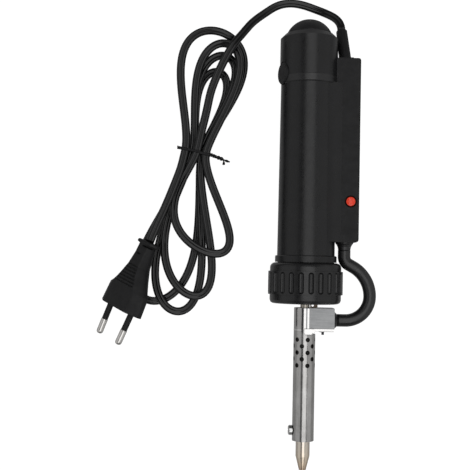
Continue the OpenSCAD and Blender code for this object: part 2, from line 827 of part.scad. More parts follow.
module side_housing() {
    half_w = housing_w / 2;
    color("#2c2c2e") laid() difference() {
        union() {
            difference() {
                housing_block();
                translate([cavity_x, -half_w + housing_wall, housing_z + housing_wall])
                    cube([cavity_end - cavity_x, housing_w, housing_len - 2 * housing_wall]);
            }
            for (z = screw_heights) translate([screw_x, cover_y, z]) rotate([90, 0, 0])
                cylinder(r = boss_r, h = cover_y + half_w - housing_wall / 2, $fn = 32);
        }
        translate([housing_x - 1, cover_y, housing_z - 1])
            cube([housing_reach - housing_x + 2, cover_t + 1, housing_len + 2]);
        for (z = screw_heights) translate([screw_x, cover_y + 1, z]) rotate([90, 0, 0])
            cylinder(d = cover_screw_d + 2 * press_gap, h = cover_y + half_w - housing_wall + 0.5, $fn = 32);
        translate([lens_x, 0, lens_z]) rotate([90, 0, 0]) {
            cylinder(d = lens_d + 2 * press_gap, h = half_w + 1);
            translate([0, 0, half_w - 0.4]) cylinder(d = lens_d + 0.8, h = 1);
        }
        translate([boot_x, 0, housing_top - housing_wall - 1])
            cylinder(r = relief_neck_r + press_gap, h = housing_wall + 2);
        translate([lead_exit_x, 0, housing_z - 1])
            cylinder(r = cuff_neck_r + press_gap, h = housing_wall + 2);
    }
}

module housing_cover() {
    head_r = cover_screw_d + 0.3;
    color("#2a2a2c") laid() difference() {
        intersection() {
            housing_block();
            translate([housing_x, cover_y, housing_z])
                cube([housing_reach - housing_x, cover_t, housing_len]);
        }
        for (z = screw_heights) translate([screw_x, cover_y - 1, z]) rotate([-90, 0, 0]) {
            cylinder(d = cover_screw_d + 0.2, h = cover_t + 2, $fn = 32);
            translate([0, 0, 1 + cover_t / 2]) cylinder(r = head_r, h = cover_t, $fn = 32);
        }
    }
}

module housing_screws() {
    head_h = cover_t / 2;
    screw_len = 8;
    color("#8c8e90") laid() for (z = screw_heights)
        translate([screw_x, cover_y + cover_t / 2, z]) rotate([90, 0, 0]) {
            translate([0, 0, -head_h]) cylinder(r = cover_screw_d, h = head_h, $fn = 32);
            cylinder(d = cover_screw_d, h = screw_len, $fn = 32);
        }
}

lens_inset = 4.9;
lens_x = housing_reach - lens_inset;
lens_flange_t = 0.8;

module indicator_lens() {
    face_y = housing_w / 2;
    inner_y = face_y - housing_wall;
    dome_h = 0.7;
    lens_r = lens_d / 2;
    dome_sphere = (lens_r * lens_r + dome_h * dome_h) / (2 * dome_h);
    color("#e03c28") laid() translate([lens_x, 0, lens_z]) rotate([90, 0, 0]) {
        translate([0, 0, inner_y - lens_flange_t]) cylinder(r = lens_r + 0.6, h = lens_flange_t);
        translate([0, 0, inner_y - lens_flange_t / 2])
            cylinder(r = lens_r, h = face_y - inner_y + lens_flange_t / 2);
        intersection() {
            translate([0, 0, face_y + dome_h - dome_sphere]) sphere(r = dome_sphere, $fn = 96);
            translate([0, 0, face_y - 0.1]) cylinder(r = lens_r, h = dome_h + 1);
        }
    }
}

// ---- Strain relief and leads ----

boot_x = 20.9;
relief_neck_r = 2.9;
relief_flange_h = 0.8;
boot_lean = 5;      // towards the pump's axis
boot_droop = 20;    // towards the bench

module strain_relief() {
    retainer_r = relief_neck_r + 0.8;
    color("#262628") laid() translate([boot_x, 0, 0]) {
        translate([0, 0, housing_top]) linear_extrude(relief_flange_h)
            rounded(-3.9, 4.7, -4.3, 4.3, [1, 1, 1, 1]);
        translate([0, 0, housing_top - housing_wall]) cylinder(r = relief_neck_r, h = housing_wall + 0.1);
        difference() {
            translate([0, 0, housing_top - housing_wall - 0.8]) cylinder(r = retainer_r, h = 0.8);
            translate([-2 * retainer_r, -retainer_r, housing_top - housing_wall - 1])
                cube([2 * retainer_r + cavity_x + press_gap - boot_x, 2 * retainer_r, 2]);
        }
        intersection() {
            translate([0, 0, housing_top + relief_flange_h / 2]) rotate([-boot_droop, -boot_lean, 0])
                translate([0, 0, -3]) rotate_extrude() polygon([
                    [0, 0], [boot_d / 2, 0], [boot_d / 2, 3], [boot_end_d / 2, boot_len + 2],
                    [boot_end_d / 2 - 0.8, boot_len + 3], [0, boot_len + 3],
                ]);
            translate([-20, -20, housing_top + 0.1]) cube([40, 40, boot_len + 10]);
        }
    }
}

grommet_len = 4.3;

module lead_grommet() {
    wall_top = housing_z + housing_wall;
    flange_r = cuff_neck_r + 0.8;
    color("#262628") laid() difference() {
        translate([lead_exit_x, 0, 0]) rotate_extrude() polygon([
            [0, housing_z - grommet_len], [lead_r + 0.1, housing_z - grommet_len],
            [lead_r + 0.4, housing_z - 2.6], [lead_r + 1.1, housing_z - 1.2],
            [lead_r + 1.7, housing_z - 0.6], [lead_r + 1.7, housing_z - press_gap],
            [cuff_neck_r, housing_z - press_gap], [cuff_neck_r, wall_top + press_gap],
            [flange_r, wall_top + press_gap], [flange_r, wall_top + 0.85], [0, wall_top + 0.85],
        ]);
        translate([cavity_x + press_gap - flange_r, -flange_r, wall_top])
            cube([flange_r, 2 * flange_r, 1]);
    }
}

// The heater lead: straight down from the grommet, out round the collar and back to the bracket
low_x = lead_reach - lead_bend_low;
low_z = wire_z + lead_bend_low;
mid_x = lead_reach - lead_bend_mid;
bends = lead_bend_mid + lead_bend_high;
swing = acos((lead_exit_x + lead_bend_high - mid_x) / norm([bends, lead_slant]))
    - atan(lead_slant / bends);
high_z = low_z + bends * sin(swing) + lead_slant * cos(swing);

// Points of its middle line, each with the turn of the lead's section there
function lead_line(steps) = concat(
    [[lead_exit_x, housing_z - grommet_len, 0]],
    [for (i = [0:steps]) let (a = swing * i / steps)
        [lead_exit_x + lead_bend_high * (1 - cos(a)), high_z - lead_bend_high * sin(a), a]],
    [for (i = [0:steps - 1]) let (a = swing * (1 - i / steps))
        [mid_x + lead_bend_mid * cos(a), low_z + lead_bend_mid * sin(a), a]],
    [for (i = [0:steps]) let (a = -90 * i / steps)
        [low_x + lead_bend_low * cos(a), low_z + lead_bend_low * sin(a), a]],
    [[cuff_end, wire_z, -90]]
);

module heater_lead() {
    sides = 16;
    line = lead_line(8);
    color("#242426") laid() polyhedron([
        for (p = line, k = [0:sides - 1]) let (b = 360 * k / sides)
            [p[0] + lead_r * cos(b) * cos(p[2]), lead_r * sin(b), p[1] + lead_r * cos(b) * sin(p[2])]
    ], tube_faces(len(line), sides));
}

// ---- Inside the housing ----

splice_r = 1.45;
splice_rise = 58.7;
splice_len = 14;
splice_z = [housing_z + splice_rise, housing_z + splice_rise + splice_len];
live_x = cavity_x + 0.2 + splice_r;
neutral_x = live_x + 2 * splice_r + 0.1;
main_y = 0.75;
foot_y = 3.2;      // the mains wires pass behind the lamp
lamp_y = -0.75;
inner_foot = housing_z + housing_wall + 0.85;
inner_head = housing_top - housing_wall - 0.8;

module wire_splices() {
    color("#b8502c") laid() for (x = [live_x, neutral_x])
        translate([x, 0, splice_z[0]]) cylinder(r = splice_r, h = splice_len, $fn = 32);
}

lamp_back = 1.5;
lamp_wire_r = 0.4;
lamp_foot = lamp_back + lamp_wire_r + 0.2;    // where the lamp's wires start

module indicator_lamp() {
    lamp_r = 1.9;
    front = housing_w / 2 - housing_wall - lens_flange_t;
    color("#e8b070") laid() translate([lens_x, 0, lens_z]) rotate([90, 0, 0]) {
        translate([0, 0, -lamp_back]) cylinder(r = lamp_r, h = front + lamp_back - lamp_r, $fn = 32);
        intersection() {
            translate([0, 0, front - lamp_r]) sphere(r = lamp_r, $fn = 32);
            translate([0, 0, front - lamp_r - 0.1]) cylinder(r = lamp_r, h = lamp_r, $fn = 32);
        }
    }
}

lamp_lead_y = 2.6;
resistor_x = lens_x + 1.3;
resistor_z = lens_z + 9;
resistor_len = 6.5;

module lamp_resistor() {
    color("#d8c49a") laid() translate([resistor_x, lamp_lead_y, resistor_z])
        cylinder(r = 1.2, h = resistor_len, $fn = 32);
}

module inner_wires() {
    top = resistor_z + resistor_len;
    color("#d8d4c8") laid() {
        for (x = [live_x, neutral_x]) {
            wire([x, 0, splice_z[1]], [x, 0, inner_head], wire_r);
            wire([x, foot_y, inner_foot], [x, main_y, splice_z[0]], wire_r);
        }
        wire([lens_x + 1.3, lamp_foot, lens_z], [resistor_x, lamp_lead_y, resistor_z], lamp_wire_r);
        wire([resistor_x, lamp_lead_y, top], [neutral_x, lamp_y, splice_z[0]], lamp_wire_r);
        wire([lens_x - 1, lamp_foot, lens_z], [live_x, lamp_y, splice_z[0]], lamp_wire_r);
    }
}

// ---- Mains lead, in the frame of the bench ----

waist = [-73.6, 52, 0];
hank_turn = -12;       // the hank's axis leans towards the pump
row_pitch = 3.6;
waist_lift = 1.2;      // the tie passes under the waist

// Passes through the waist, in order: sideways place and row
passes = [
    [0, 3], [5.3, 3], [-2.65, 2], [2.65, 2], [-2.65, 1], [2.65, 1], [-2.65, 0], [2.65, 0], [-6.8, 3],
];

// Loops, in order: length, width and sideways lean; they hang below and above the waist in turn
loops = [
    [56, 30, 18], [66, 20, 0.8], [83, 26, 11], [59.5, 18, 2.8],
    [94.5, 25, 5], [50, 14, 1], [92, 28, -5], [72.5, 32, -1],
];
rings_per_loop = 24;
lead_in = 12;
lead_out = 5;

function smooth(x) = let (u = min(1, max(0, x))) u * u * (3 - 2 * u);
function mix(a, b, u) = a + (b - a) * u;

// The rings of a loop stand closer together round its far end
function loop_turn(k) = let (half = rings_per_loop / 2)
    k <= half ? 180 * pow(k / half, 0.7) : 360 - 180 * pow((rings_per_loop - k) / half, 0.7);

// A point of loop i in the hank's frame: along, sideways and up. The belly is widest past the
// middle of the loop, and the climb from row to row lies round the far end.
function loop_point(i, k) = let (
    t = loop_turn(k),
    side = i % 2 == 0 ? -1 : 1,
    size = loops[i],
    along = side * size[0] * (1 - cos(t)) / 2,
    belly = size[1] / 2 * sin(t) * pow(sin(t / 2), 2) / 0.6495,
    across = mix(passes[i][0], passes[i + 1][0], smooth(t / 360)),
    row = mix(passes[i][1], passes[i + 1][1], smooth((t - 110) / 140)),
    lift = waist_lift * (1 - smooth(abs(along) / 25))
) [
    along,
    across + side * belly + tan(size[2]) * along * along / size[0],
    cord_t / 2 + row * row_pitch + lift
];

function hank_points() = let (
    last = len(loops) - 1,
    top = cord_t / 2 + 3 * row_pitch + waist_lift
) concat(
    [[lead_in, passes[0][0], top]],
    [for (i = [0:last]) for (k = [i == 0 ? 0 : 1:rings_per_loop]) loop_point(i, k)],
    [[-lead_out, passes[last + 1][0], top]]
);

function on_bench(p) = waist + [
    p[0] * -sin(hank_turn) + p[1] * cos(hank_turn),
    p[0] * cos(hank_turn) + p[1] * sin(hank_turn),
    p[2]
];

hank_route = [for (p = hank_points()) on_bench(p)];

// A point of the pump's own frame, laid down with it
function laid_point(p) = [
    p[0] - shift_x,
    p[2] * cos(tilt) - p[1] * sin(tilt) - shift_y,
    lift - p[1] * cos(tilt) - p[2] * sin(tilt)
];
boot_tip = laid_point([
    boot_x - boot_len * cos(boot_droop) * sin(boot_lean),
    boot_len * sin(boot_droop),
    housing_top + relief_flange_h / 2 + boot_len * cos(boot_droop) * cos(boot_lean)
]);
bench_z = 1.4;        // height of the lead's middle where it lies on the bench

// From the strain relief under the knob's path and up over the hank
mains_route = [
    boot_tip, [9.5, 128.5, 8], [7, 132.5, 6], [2, 136, 3], [-5, 139, 1.5],
    [-12.5, 141.5, bench_z], [-20, 142.5, bench_z], [-27.5, 141, 1.5], [-35, 136, 3],
    [-42.5, 129.5, 6.5], [-48, 122, 11.5], [-53, 115, 15.5], [-58.5, 105, 17], [-63, 95, 17],
    [-66, 87, 15], [-68.5, 75, 14], hank_route[0],
];

// Over the hank's lower loops and down to the plug
tail_route = [
    hank_route[len(hank_route) - 1], [-82.5, 43, 14], [-86, 32.5, 16.5], [-90.5, 21, 16.5],
    [-95, 11, 15], [-98.5, 2.5, 14], [-100, -1.5, 14],
];

// The least gap between turns of the lead: the distance between two points, less the part of
// it that lies inside the two flat sections
function with_middles(points) = [
    for (i = [0:len(points) - 2]) each [points[i], (points[i] + points[i + 1]) / 2]
];
function gap_between(d) = norm(d) * (1 - cord_w / norm([d[0], d[1], d[2] * cord_w / cord_t]));
function least_gap(points) = let (
    dense = with_middles(points),
    last = len(dense) - 1
) min([for (i = [0:last - 10]) for (j = [i + 10:last]) gap_between(dense[i] - dense[j])]);
echo(hank_least_gap_mm = least_gap(hank_route));

function route_length(points) =
    [for (i = [1:len(points) - 1]) norm(points[i] - points[i - 1])] * [for (i = [1:len(points) - 1]) 1];
echo(cord_length_mm = route_length(smoothed(mains_route)) + route_length(hank_route)
    + route_length(smoothed(tail_route)));

// A smooth curve through the points of a route, with one ring between each two
function middle(p, i) = let (
    before = p[max(0, i - 1)],
    after = p[min(len(p) - 1, i + 2)]
) (9 * (p[i] + p[i + 1]) - before - after) / 16;
function smoothed(p) = concat(
    [p[0]],
    [for (i = [0:len(p) - 2]) each (i == 0 || i == len(p) - 2 ? [p[i + 1]] : [middle(p, i), p[i + 1]])]
);

// A flat section, lying level across the route
function flat_section(sides) = sides == 6
    ? [[-cord_w / 2, 0], [-cord_w * 0.28, -cord_t / 2], [cord_w * 0.28, -cord_t / 2],
        [cord_w / 2, 0], [cord_w * 0.28, cord_t / 2], [-cord_w * 0.28, cord_t / 2]]
    : [[-cord_w / 2, -cord_t * 0.22], [-cord_w * 0.32, -cord_t / 2], [cord_w * 0.32, -cord_t / 2],
        [cord_w / 2, -cord_t * 0.22], [cord_w / 2, cord_t * 0.22], [cord_w * 0.32, cord_t / 2],
        [-cord_w * 0.32, cord_t / 2], [-cord_w / 2, cord_t * 0.22]];

function unit(v) = v / norm(v);
function heading(points, i) = unit(points[min(len(points) - 1, i + 1)] - points[max(0, i - 1)]);

module flat_cord(points, sides) {
    section = flat_section(sides);
    polyhedron([
        for (i = [0:len(points) - 1]) let (
            ahead = heading(points, i),
            across = unit(cross(ahead, [0, 0, 1])),
            up = cross(across, ahead)
        ) for (q = section) points[i] + across * q[0] + up * q[1]
    ], tube_faces(len(points), sides));
}

module mains_cord() {
    color("#1e1e20") flat_cord(smoothed(mains_route), 8);
}

module cord_hank() {
    color("#1e1e20") flat_cord(hank_route, 6);
}

module cord_tail() {
    color("#1e1e20") flat_cord(smoothed(tail_route), 8);
}

// The tie's inside, drawn taut round the lead where it passes through the waist
module tie_inside() {
    gap = 0.25;
    half = cord_w / 2 + gap;
    foot = waist_lift - gap;
    top = waist_lift + cord_t + 3 * row_pitch + gap;
    shoulder = top - cord_t - 2 * gap;
    sides = [for (p = passes) p[0]];
    polygon([
        [passes[2][0] - half, foot], [passes[3][0] + half, foot],
        [max(sides) + half, shoulder], [max(sides) + half, top],
        [min(sides) - half, top], [min(sides) - half, shoulder],
    ]);
}

module twist_tie() {
    tail_len = 12;
    tail_x = max([for (p = passes) p[0]]) + cord_w / 2 + tie_t;
    tail_z = waist_lift + cord_t / 2 + 3 * row_pitch;
    color("#1a1a1c") translate([waist[0], waist[1], 0]) rotate([0, 0, hank_turn]) {
        rotate([90, 0, 0]) translate([0, 0, -tie_w / 2]) linear_extrude(tie_w) difference() {
            offset(delta = tie_t, chamfer = true) tie_inside();
            tie_inside();
        }
        translate([tail_x, 0, tail_z]) rotate([0, 96, 4])
            linear_extrude(tail_len, twist = 500, slices = 14, $fn = 4) square([tie_w, tie_t], center = true);
    }
}

// ---- Mains plug, lying rolled on one edge ----

plug_at = tail_route[len(tail_route) - 1];
plug_heading = 247.7;
plug_roll = 40;

// Sections from the flange to the face: height, half the width and half the thickness
plug_sections = [
    [0, 8.2, 5], [1.8, 8.4, 5], [2.2, 5.7, 4.3], [8, 5.9, 4.6], [15.4, 7, 5.6],
    [22, 10, 6.5], [28, 14, 6.85], [30, 15.8, 6.85], [plug_len, 16.6, 6.85],
];

module on_plug() {
    translate(plug_at) rotate([0, 0, plug_heading]) rotate([0, 90, 0])
        rotate([0, 0, 90 + plug_roll]) children();
}

function plug_ring(s) = let (w = s[1], t = s[2], flat = w * 0.6, edge = t * 0.22) [
    [-w, -edge, s[0]], [-flat, -t, s[0]], [flat, -t, s[0]], [w, -edge, s[0]],
    [w, edge, s[0]], [flat, t, s[0]], [-flat, t, s[0]], [-w, edge, s[0]],
];

module on_pins() {
    for (side = [-1, 1]) translate([side * pin_pitch / 2, 0, plug_len])
        rotate([0, -side * pin_lean, 0]) children();
}

pin_core_d = 2.8;
pin_root = 8;

module plug_body() {
    grips = 7;
    grip_start = 15.5;
    grip_pitch = 1.9;
    grip_w = 0.8;
    grip_depth = 0.35;
    neck_slot = [4, 3.4, 1.3];
    color("#242426") on_plug() difference() {
        polyhedron([for (s = plug_sections) each plug_ring(s)], tube_faces(len(plug_sections), 8));
        on_pins() translate([0, 0, -pin_root])
            cylinder(d = pin_core_d + 2 * press_gap, h = pin_root + 1, $fn = 24);
        for (side = [-1, 1]) {
            for (i = [0:grips - 1])
                grip_line(side, grip_start + i * grip_pitch, 4 + i * 0.6, grip_w, grip_depth);
            translate([side * 6.6, 0, 5.4 - side * 1.4]) cube(neck_slot, center = true);
        }
    }
}

// A groove across one face of the plug, as deep as its depth below the sloping face
module grip_line(side, z, half, width, depth) {
    surface = lookup(z, [for (s = plug_sections) [s[0], s[2]]]);
    translate([-half, side > 0 ? surface - depth : -surface - 1, z - width / 2])
        cube([2 * half, depth + 1, width]);
}

module plug_pins() {
    tip_r = pin_d / 2;
    bare = pin_len - sleeve_len;
    color("#d0c9bc") on_plug() on_pins() {
        translate([0, 0, -pin_root]) cylinder(d = pin_core_d, h = pin_root + sleeve_len, $fn = 48);
        translate([0, 0, sleeve_len]) cylinder(r = tip_r, h = bare - 1.4);
        translate([0, 0, sleeve_len + bare - 1.4]) cylinder(r1 = tip_r, r2 = tip_r - 1.1, h = 1.4);
    }
}

module pin_sleeves() {
    sleeve_r = pin_d / 2 - 0.2;
    seat = sleeve_r * sin(pin_lean) + press_gap;
    color("#202022") on_plug() on_pins() ring(sleeve_r, pin_core_d / 2 + press_gap, seat, sleeve_len);
}

barrel();
top_cap();
plunger_knob();
release_button();
side_housing();
indicator_lens();
strain_relief();
lead_grommet();
heater_lead();
lead_cuff();
collar_nut();
suction_tube();
heater_bracket();
bracket_screw();
heater_shroud();
nozzle();
nozzle_set_screw();
plunger_rod();
piston();
piston_ring();
piston_screw();
main_spring();
latch_plate();
latch_spring();
front_plug();
front_seal();
heater_core();
heater_wires();
housing_cover();
housing_screws();
indicator_lamp();
lamp_resistor();
wire_splices();
inner_wires();
mains_cord();
cord_hank();
cord_tail();
twist_tie();
plug_body();
plug_pins();
pin_sleeves();
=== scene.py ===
import math

import bpy
from mathutils import Matrix, Vector


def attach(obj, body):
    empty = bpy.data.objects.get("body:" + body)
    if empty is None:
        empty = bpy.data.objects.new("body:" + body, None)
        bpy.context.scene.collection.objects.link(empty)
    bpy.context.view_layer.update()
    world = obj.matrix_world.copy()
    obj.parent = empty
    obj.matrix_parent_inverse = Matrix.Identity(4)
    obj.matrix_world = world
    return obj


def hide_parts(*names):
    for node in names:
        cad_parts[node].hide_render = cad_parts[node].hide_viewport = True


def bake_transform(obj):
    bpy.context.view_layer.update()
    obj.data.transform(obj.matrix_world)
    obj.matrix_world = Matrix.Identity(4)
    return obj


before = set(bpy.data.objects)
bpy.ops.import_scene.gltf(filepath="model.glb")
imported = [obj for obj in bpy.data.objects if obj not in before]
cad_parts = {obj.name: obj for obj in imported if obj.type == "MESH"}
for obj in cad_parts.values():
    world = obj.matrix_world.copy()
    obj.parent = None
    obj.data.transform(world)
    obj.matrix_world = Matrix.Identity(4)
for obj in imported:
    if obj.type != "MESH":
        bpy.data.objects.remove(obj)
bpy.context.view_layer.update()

MM = 0.001

# ---- Sizes that the part's source also has, in millimetres ----

# How the upright pump is laid down: its tilt on the bench, its shift in plan and its axis's height
TILT = math.radians(2.01030)
SHIFT = (9.525, 129.1906)
LIFT = 25.3008

# The barrel's radius at two heights, the side housing's front face and the release button's axis
BARREL_FOOT, BARREL_TOP = (121.9, 16.5), (221.2, 15.9)
HOUSING_FACE = 6.4
BUTTON_Z = 226.0
BUTTON_TURN = math.radians(20)

# The heater's shroud, and the bracket's foot and front plate
SHROUD_R = 6.2
SHROUD_TOP = 92.2
BRACKET_FOOT = 80.5
PLATE_Y = 6.84

# The flat twin cord, and how its runs lie in the hank: columns and rows, counted from the bench
CORD_W = 4.8
CORD_T = 2.7
ROW_PITCH = 3.6
TOP_ROW = 3
WAIST = (-73.6, 52.0)
WAIST_LIFT = 1.2
HANK_TURN = math.radians(-12)
BENCH_Z = 1.4
BOOT_TIP = (9.737, 125.035, 9.533)      # where the lead leaves the strain relief
MAINS_ROUTE = [
    BOOT_TIP, (9.5, 128.5, 8), (7, 132.5, 6), (2, 136, 3), (-5, 139, 1.5),
    (-12.5, 141.5, BENCH_Z), (-20, 142.5, BENCH_Z), (-27.5, 141, 1.5), (-35, 136, 3),
    (-42.5, 129.5, 6.5), (-48, 122, 11.5), (-53, 115, 15.5), (-58.5, 105, 17), (-63, 95, 17),
    (-66, 87, 15), (-68.5, 75, 14),
]
TAIL_ROUTE = [
    (-82.5, 43, 14), (-86, 32.5, 16.5), (-90.5, 21, 16.5), (-95, 11, 15), (-98.5, 2.5, 14),
    (-100, -1.5, 14),
]
PASSES = [      # each pass through the tie: column and row
    (0, TOP_ROW), (5.3, TOP_ROW), (-2.65, 2), (2.65, 2), (-2.65, 1), (2.65, 1),
    (-2.65, 0), (2.65, 0), (-6.8, TOP_ROW),
]
LOOPS = [       # each loop between two passes: length, width and lean in degrees
    (56, 30, 18), (66, 20, 0.8), (83, 26, 11), (59.5, 18, 2.8),
    (94.5, 25, 5), (50, 14, 1), (92, 28, -5), (72.5, 32, -1),
]
LEAD_IN, LEAD_OUT = 12, 5      # how far past the tie the cord enters and leaves the hank

# The plug, from where the cord enters it, and its pins
PLUG_AT = TAIL_ROUTE[-1]
PLUG_HEADING = math.radians(247.7)
PLUG_ROLL = math.radians(130)
PLUG_LEN = 42.0
PIN_LEN = 19.0
SLEEVE_LEN = 10.0
PIN_R = 2.0
PIN_PITCH = 18.6
PIN_LEAN = math.radians(1.7)


# ---- Placing and building ----

CORNER_STEPS = 4
SPAN_STEPS = 12      # points on each span of a path, before they are spaced evenly


def laid(x, y, z):
    """A point of the upright pump, in millimetres, laid down on the bench, in metres."""
    c, s = math.cos(TILT), math.sin(TILT)
    return Vector((x - SHIFT[0], z * c - y * s - SHIFT[1], LIFT - y * c - z * s)) * MM


def around(count):
    """Angles evenly spaced over a full turn."""
    return [2 * math.pi * k / count for k in range(count)]


def add_mesh(name, verts, faces, material, body, smooth=True):
    """A mesh object of one material, riding a body unless that is None."""
    mesh = bpy.data.meshes.new(name)
    mesh.from_pydata([tuple(v) for v in verts], [], faces)
    mesh.update()
    mesh.validate()
    obj = bpy.data.objects.new(name, mesh)
    bpy.context.scene.collection.objects.link(obj)
    mesh.materials.append(material)
    for poly in mesh.polygons:
        poly.use_smooth = smooth
    if body:
        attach(obj, body)
    return obj


def loft(name, rings, material, body, caps=True):
    """A closed skin over rings of equally many points."""
    n = len(rings[0])
    verts = [p for ring in rings for p in ring]
    faces = []
    for i in range(len(rings) - 1):
        for k in range(n):
            a, b = i * n + k, i * n + (k + 1) % n
            faces.append((a, b, b + n, a + n))
    if caps:
        faces.append(tuple(reversed(range(n))))
        faces.append(tuple((len(rings) - 1) * n + k for k in range(n)))
    return add_mesh(name, verts, faces, material, body)


def sharpen(obj, degrees=35):
    """Edges sharper than an angle stay crisp under smooth shading."""
    mesh = obj.data
    limit = math.radians(degrees)
    found = {}
    for poly in mesh.polygons:
        for key in poly.edge_keys:
            found.setdefault(key, []).append(poly.normal.copy())
    for edge in mesh.edges:
        sides = found.get(tuple(sorted(edge.vertices)), [])
        edge.use_edge_sharp = len(sides) == 2 and sides[0].angle(sides[1], 0.0) > limit
    return obj


def rounded_outline(corners, radius):
    """A convex outline with a small arc in place of each corner."""
    out = []
    for i, corner in enumerate(corners):
        p, a, b = Vector(corner), Vector(corners[i - 1]), Vector(corners[(i + 1) % len(corners)])
        to_a, to_b = a - p, b - p
        reach = min(radius, to_a.length * 0.45, to_b.length * 0.45)
        start, end = p + to_a.normalized() * reach, p + to_b.normalized() * reach
        for k in range(CORNER_STEPS + 1):
            u = k / CORNER_STEPS
            out.append((1 - u) ** 2 * start + 2 * u * (1 - u) * p + u * u * end)
    return out


def sweep(name, path, section, material, body):
    """A tube of one section, lying level across a path of points in metres."""
    rings = []
    for i, p in enumerate(path):
        ahead = (path[min(len(path) - 1, i + 1)] - path[max(0, i - 1)]).normalized()
        across = ahead.cross(Vector((0, 0, 1))).normalized()
        up = across.cross(ahead)
        rings.append([p + across * q[0] + up * q[1] for q in section])
    return loft(name, rings, material, body)


def smooth_path(points, spacing, rounds=3):
    """A centripetal Catmull-Rom curve as evenly spaced points, averaged with their neighbours."""
    out = []
    last = len(points) - 1
    for i in range(last):
        p0 = points[max(0, i - 1)] if i else points[0] * 2 - points[1]
        p1, p2 = points[i], points[i + 1]
        p3 = points[i + 2] if i + 2 <= last else points[last] * 2 - points[last - 1]
        t0 = 0.0
        t1 = t0 + max(1e-6, (p1 - p0).length) ** 0.5
        t2 = t1 + max(1e-6, (p2 - p1).length) ** 0.5
        t3 = t2 + max(1e-6, (p3 - p2).length) ** 0.5
        for k in range(SPAN_STEPS):
            t = t1 + (t2 - t1) * k / SPAN_STEPS
            a1 = p0 * ((t1 - t) / (t1 - t0)) + p1 * ((t - t0) / (t1 - t0))
            a2 = p1 * ((t2 - t) / (t2 - t1)) + p2 * ((t - t1) / (t2 - t1))
            a3 = p2 * ((t3 - t) / (t3 - t2)) + p3 * ((t - t2) / (t3 - t2))
            b1 = a1 * ((t2 - t) / (t2 - t0)) + a2 * ((t - t0) / (t2 - t0))
            b2 = a2 * ((t3 - t) / (t3 - t1)) + a3 * ((t - t1) / (t3 - t1))
            out.append(b1 * ((t2 - t) / (t2 - t1)) + b2 * ((t - t1) / (t2 - t1)))
    out.append(points[last])
    lengths = [0.0]
    for i in range(1, len(out)):
        lengths.append(lengths[-1] + (out[i] - out[i - 1]).length)
    count = max(2, round(lengths[-1] / spacing))
    even, j = [], 0
    for i in range(count + 1):
        want = lengths[-1] * i / count
        while j < len(out) - 2 and lengths[j + 1] < want:
            j += 1
        share = (want - lengths[j]) / max(1e-9, lengths[j + 1] - lengths[j])
        even.append(out[j].lerp(out[j + 1], min(1.0, share)))
    for _ in range(rounds):
        even = [even[0]] + [
            (even[i - 1] + even[i] * 2 + even[i + 1]) / 4 for i in range(1, len(even) - 1)
        ] + [even[-1]]
    return even


# ---- Materials ----


def new_material(name):
    """A new material, its node tree's nodes and links, and its shader."""
    mat = bpy.data.materials.new(name)
    mat.use_nodes = True
    nodes, links = mat.node_tree.nodes, mat.node_tree.links
    return mat, nodes, links, nodes["Principled BSDF"]


def coords(nodes, links, stretch=(1, 1, 1)):
    """Object coordinates, stretched along the axes."""
    where = nodes.new("ShaderNodeTexCoord")
    mapping = nodes.new("ShaderNodeMapping")
    mapping.inputs["Scale"].default_value = stretch
    links.new(where.outputs["Object"], mapping.inputs["Vector"])
    return mapping.outputs["Vector"]


def noise(nodes, links, vector, scale, detail=3.0, rough=0.55):
    """A noise texture's factor."""
    tex = nodes.new("ShaderNodeTexNoise")
    tex.inputs["Scale"].default_value = scale
    tex.inputs["Detail"].default_value = detail
    tex.inputs["Roughness"].default_value = rough
    links.new(vector, tex.inputs["Vector"])
    return tex.outputs["Fac"]


def ramp(nodes, links, fac, stops):
    """A colour ramp over a factor, from pairs of place and colour."""
    node = nodes.new("ShaderNodeValToRGB")
    elements = node.color_ramp.elements
    while len(elements) < len(stops):
        elements.new(0.5)
    for element, (at, colour) in zip(elements, stops):
        element.position = at
        element.color = (*colour, 1.0)
    links.new(fac, node.inputs["Fac"])
    return node.outputs["Color"]


def spread(nodes, links, fac, low, high, start=0.3, end=0.7):
    """A factor's middle range, spread from a low to a high value."""
    node = nodes.new("ShaderNodeMapRange")
    sockets = {"From Min": start, "From Max": end, "To Min": low, "To Max": high}
    for socket, value in sockets.items():
        node.inputs[socket].default_value = value
    links.new(fac, node.inputs["Value"])
    return node.outputs["Result"]


def bumped(nodes, links, height, strength, distance, shader=None, under=None):
    """A bump's normal, over another's normal and into a shader where those are given."""
    node = nodes.new("ShaderNodeBump")
    node.inputs["Strength"].default_value = strength
    node.inputs["Distance"].default_value = distance
    links.new(height, node.inputs["Height"])
    if under:
        links.new(under, node.inputs["Normal"])
    if shader:
        links.new(node.outputs["Normal"], shader.inputs["Normal"])
    return node.outputs["Normal"]


def moulded(name, dark, light, rough, grain=1400, relief=0.18, level=0.35, blotch=90):
    """Moulded plastic or rubber: faint blotches of tone, a fine grain, and uneven gloss."""
    mat, nodes, links, shader = new_material(name)
    at = coords(nodes, links)
    tone = noise(nodes, links, at, blotch, 4.0, 0.6)
    links.new(ramp(nodes, links, tone, [(0.35, dark), (0.68, light)]), shader.inputs["Base Color"])
    gloss = noise(nodes, links, at, blotch * 3.1, 3.0, 0.6)
    links.new(spread(nodes, links, gloss, *rough), shader.inputs["Roughness"])
    fine = noise(nodes, links, at, grain, 2.0, 0.5)
    broad = noise(nodes, links, at, blotch * 1.4, 2.0, 0.5)
    under = bumped(nodes, links, broad, 0.25, 0.08 * MM)
    bumped(nodes, links, fine, relief, 0.03 * MM, shader, under)
    shader.inputs["Specular IOR Level"].default_value = level
    return mat


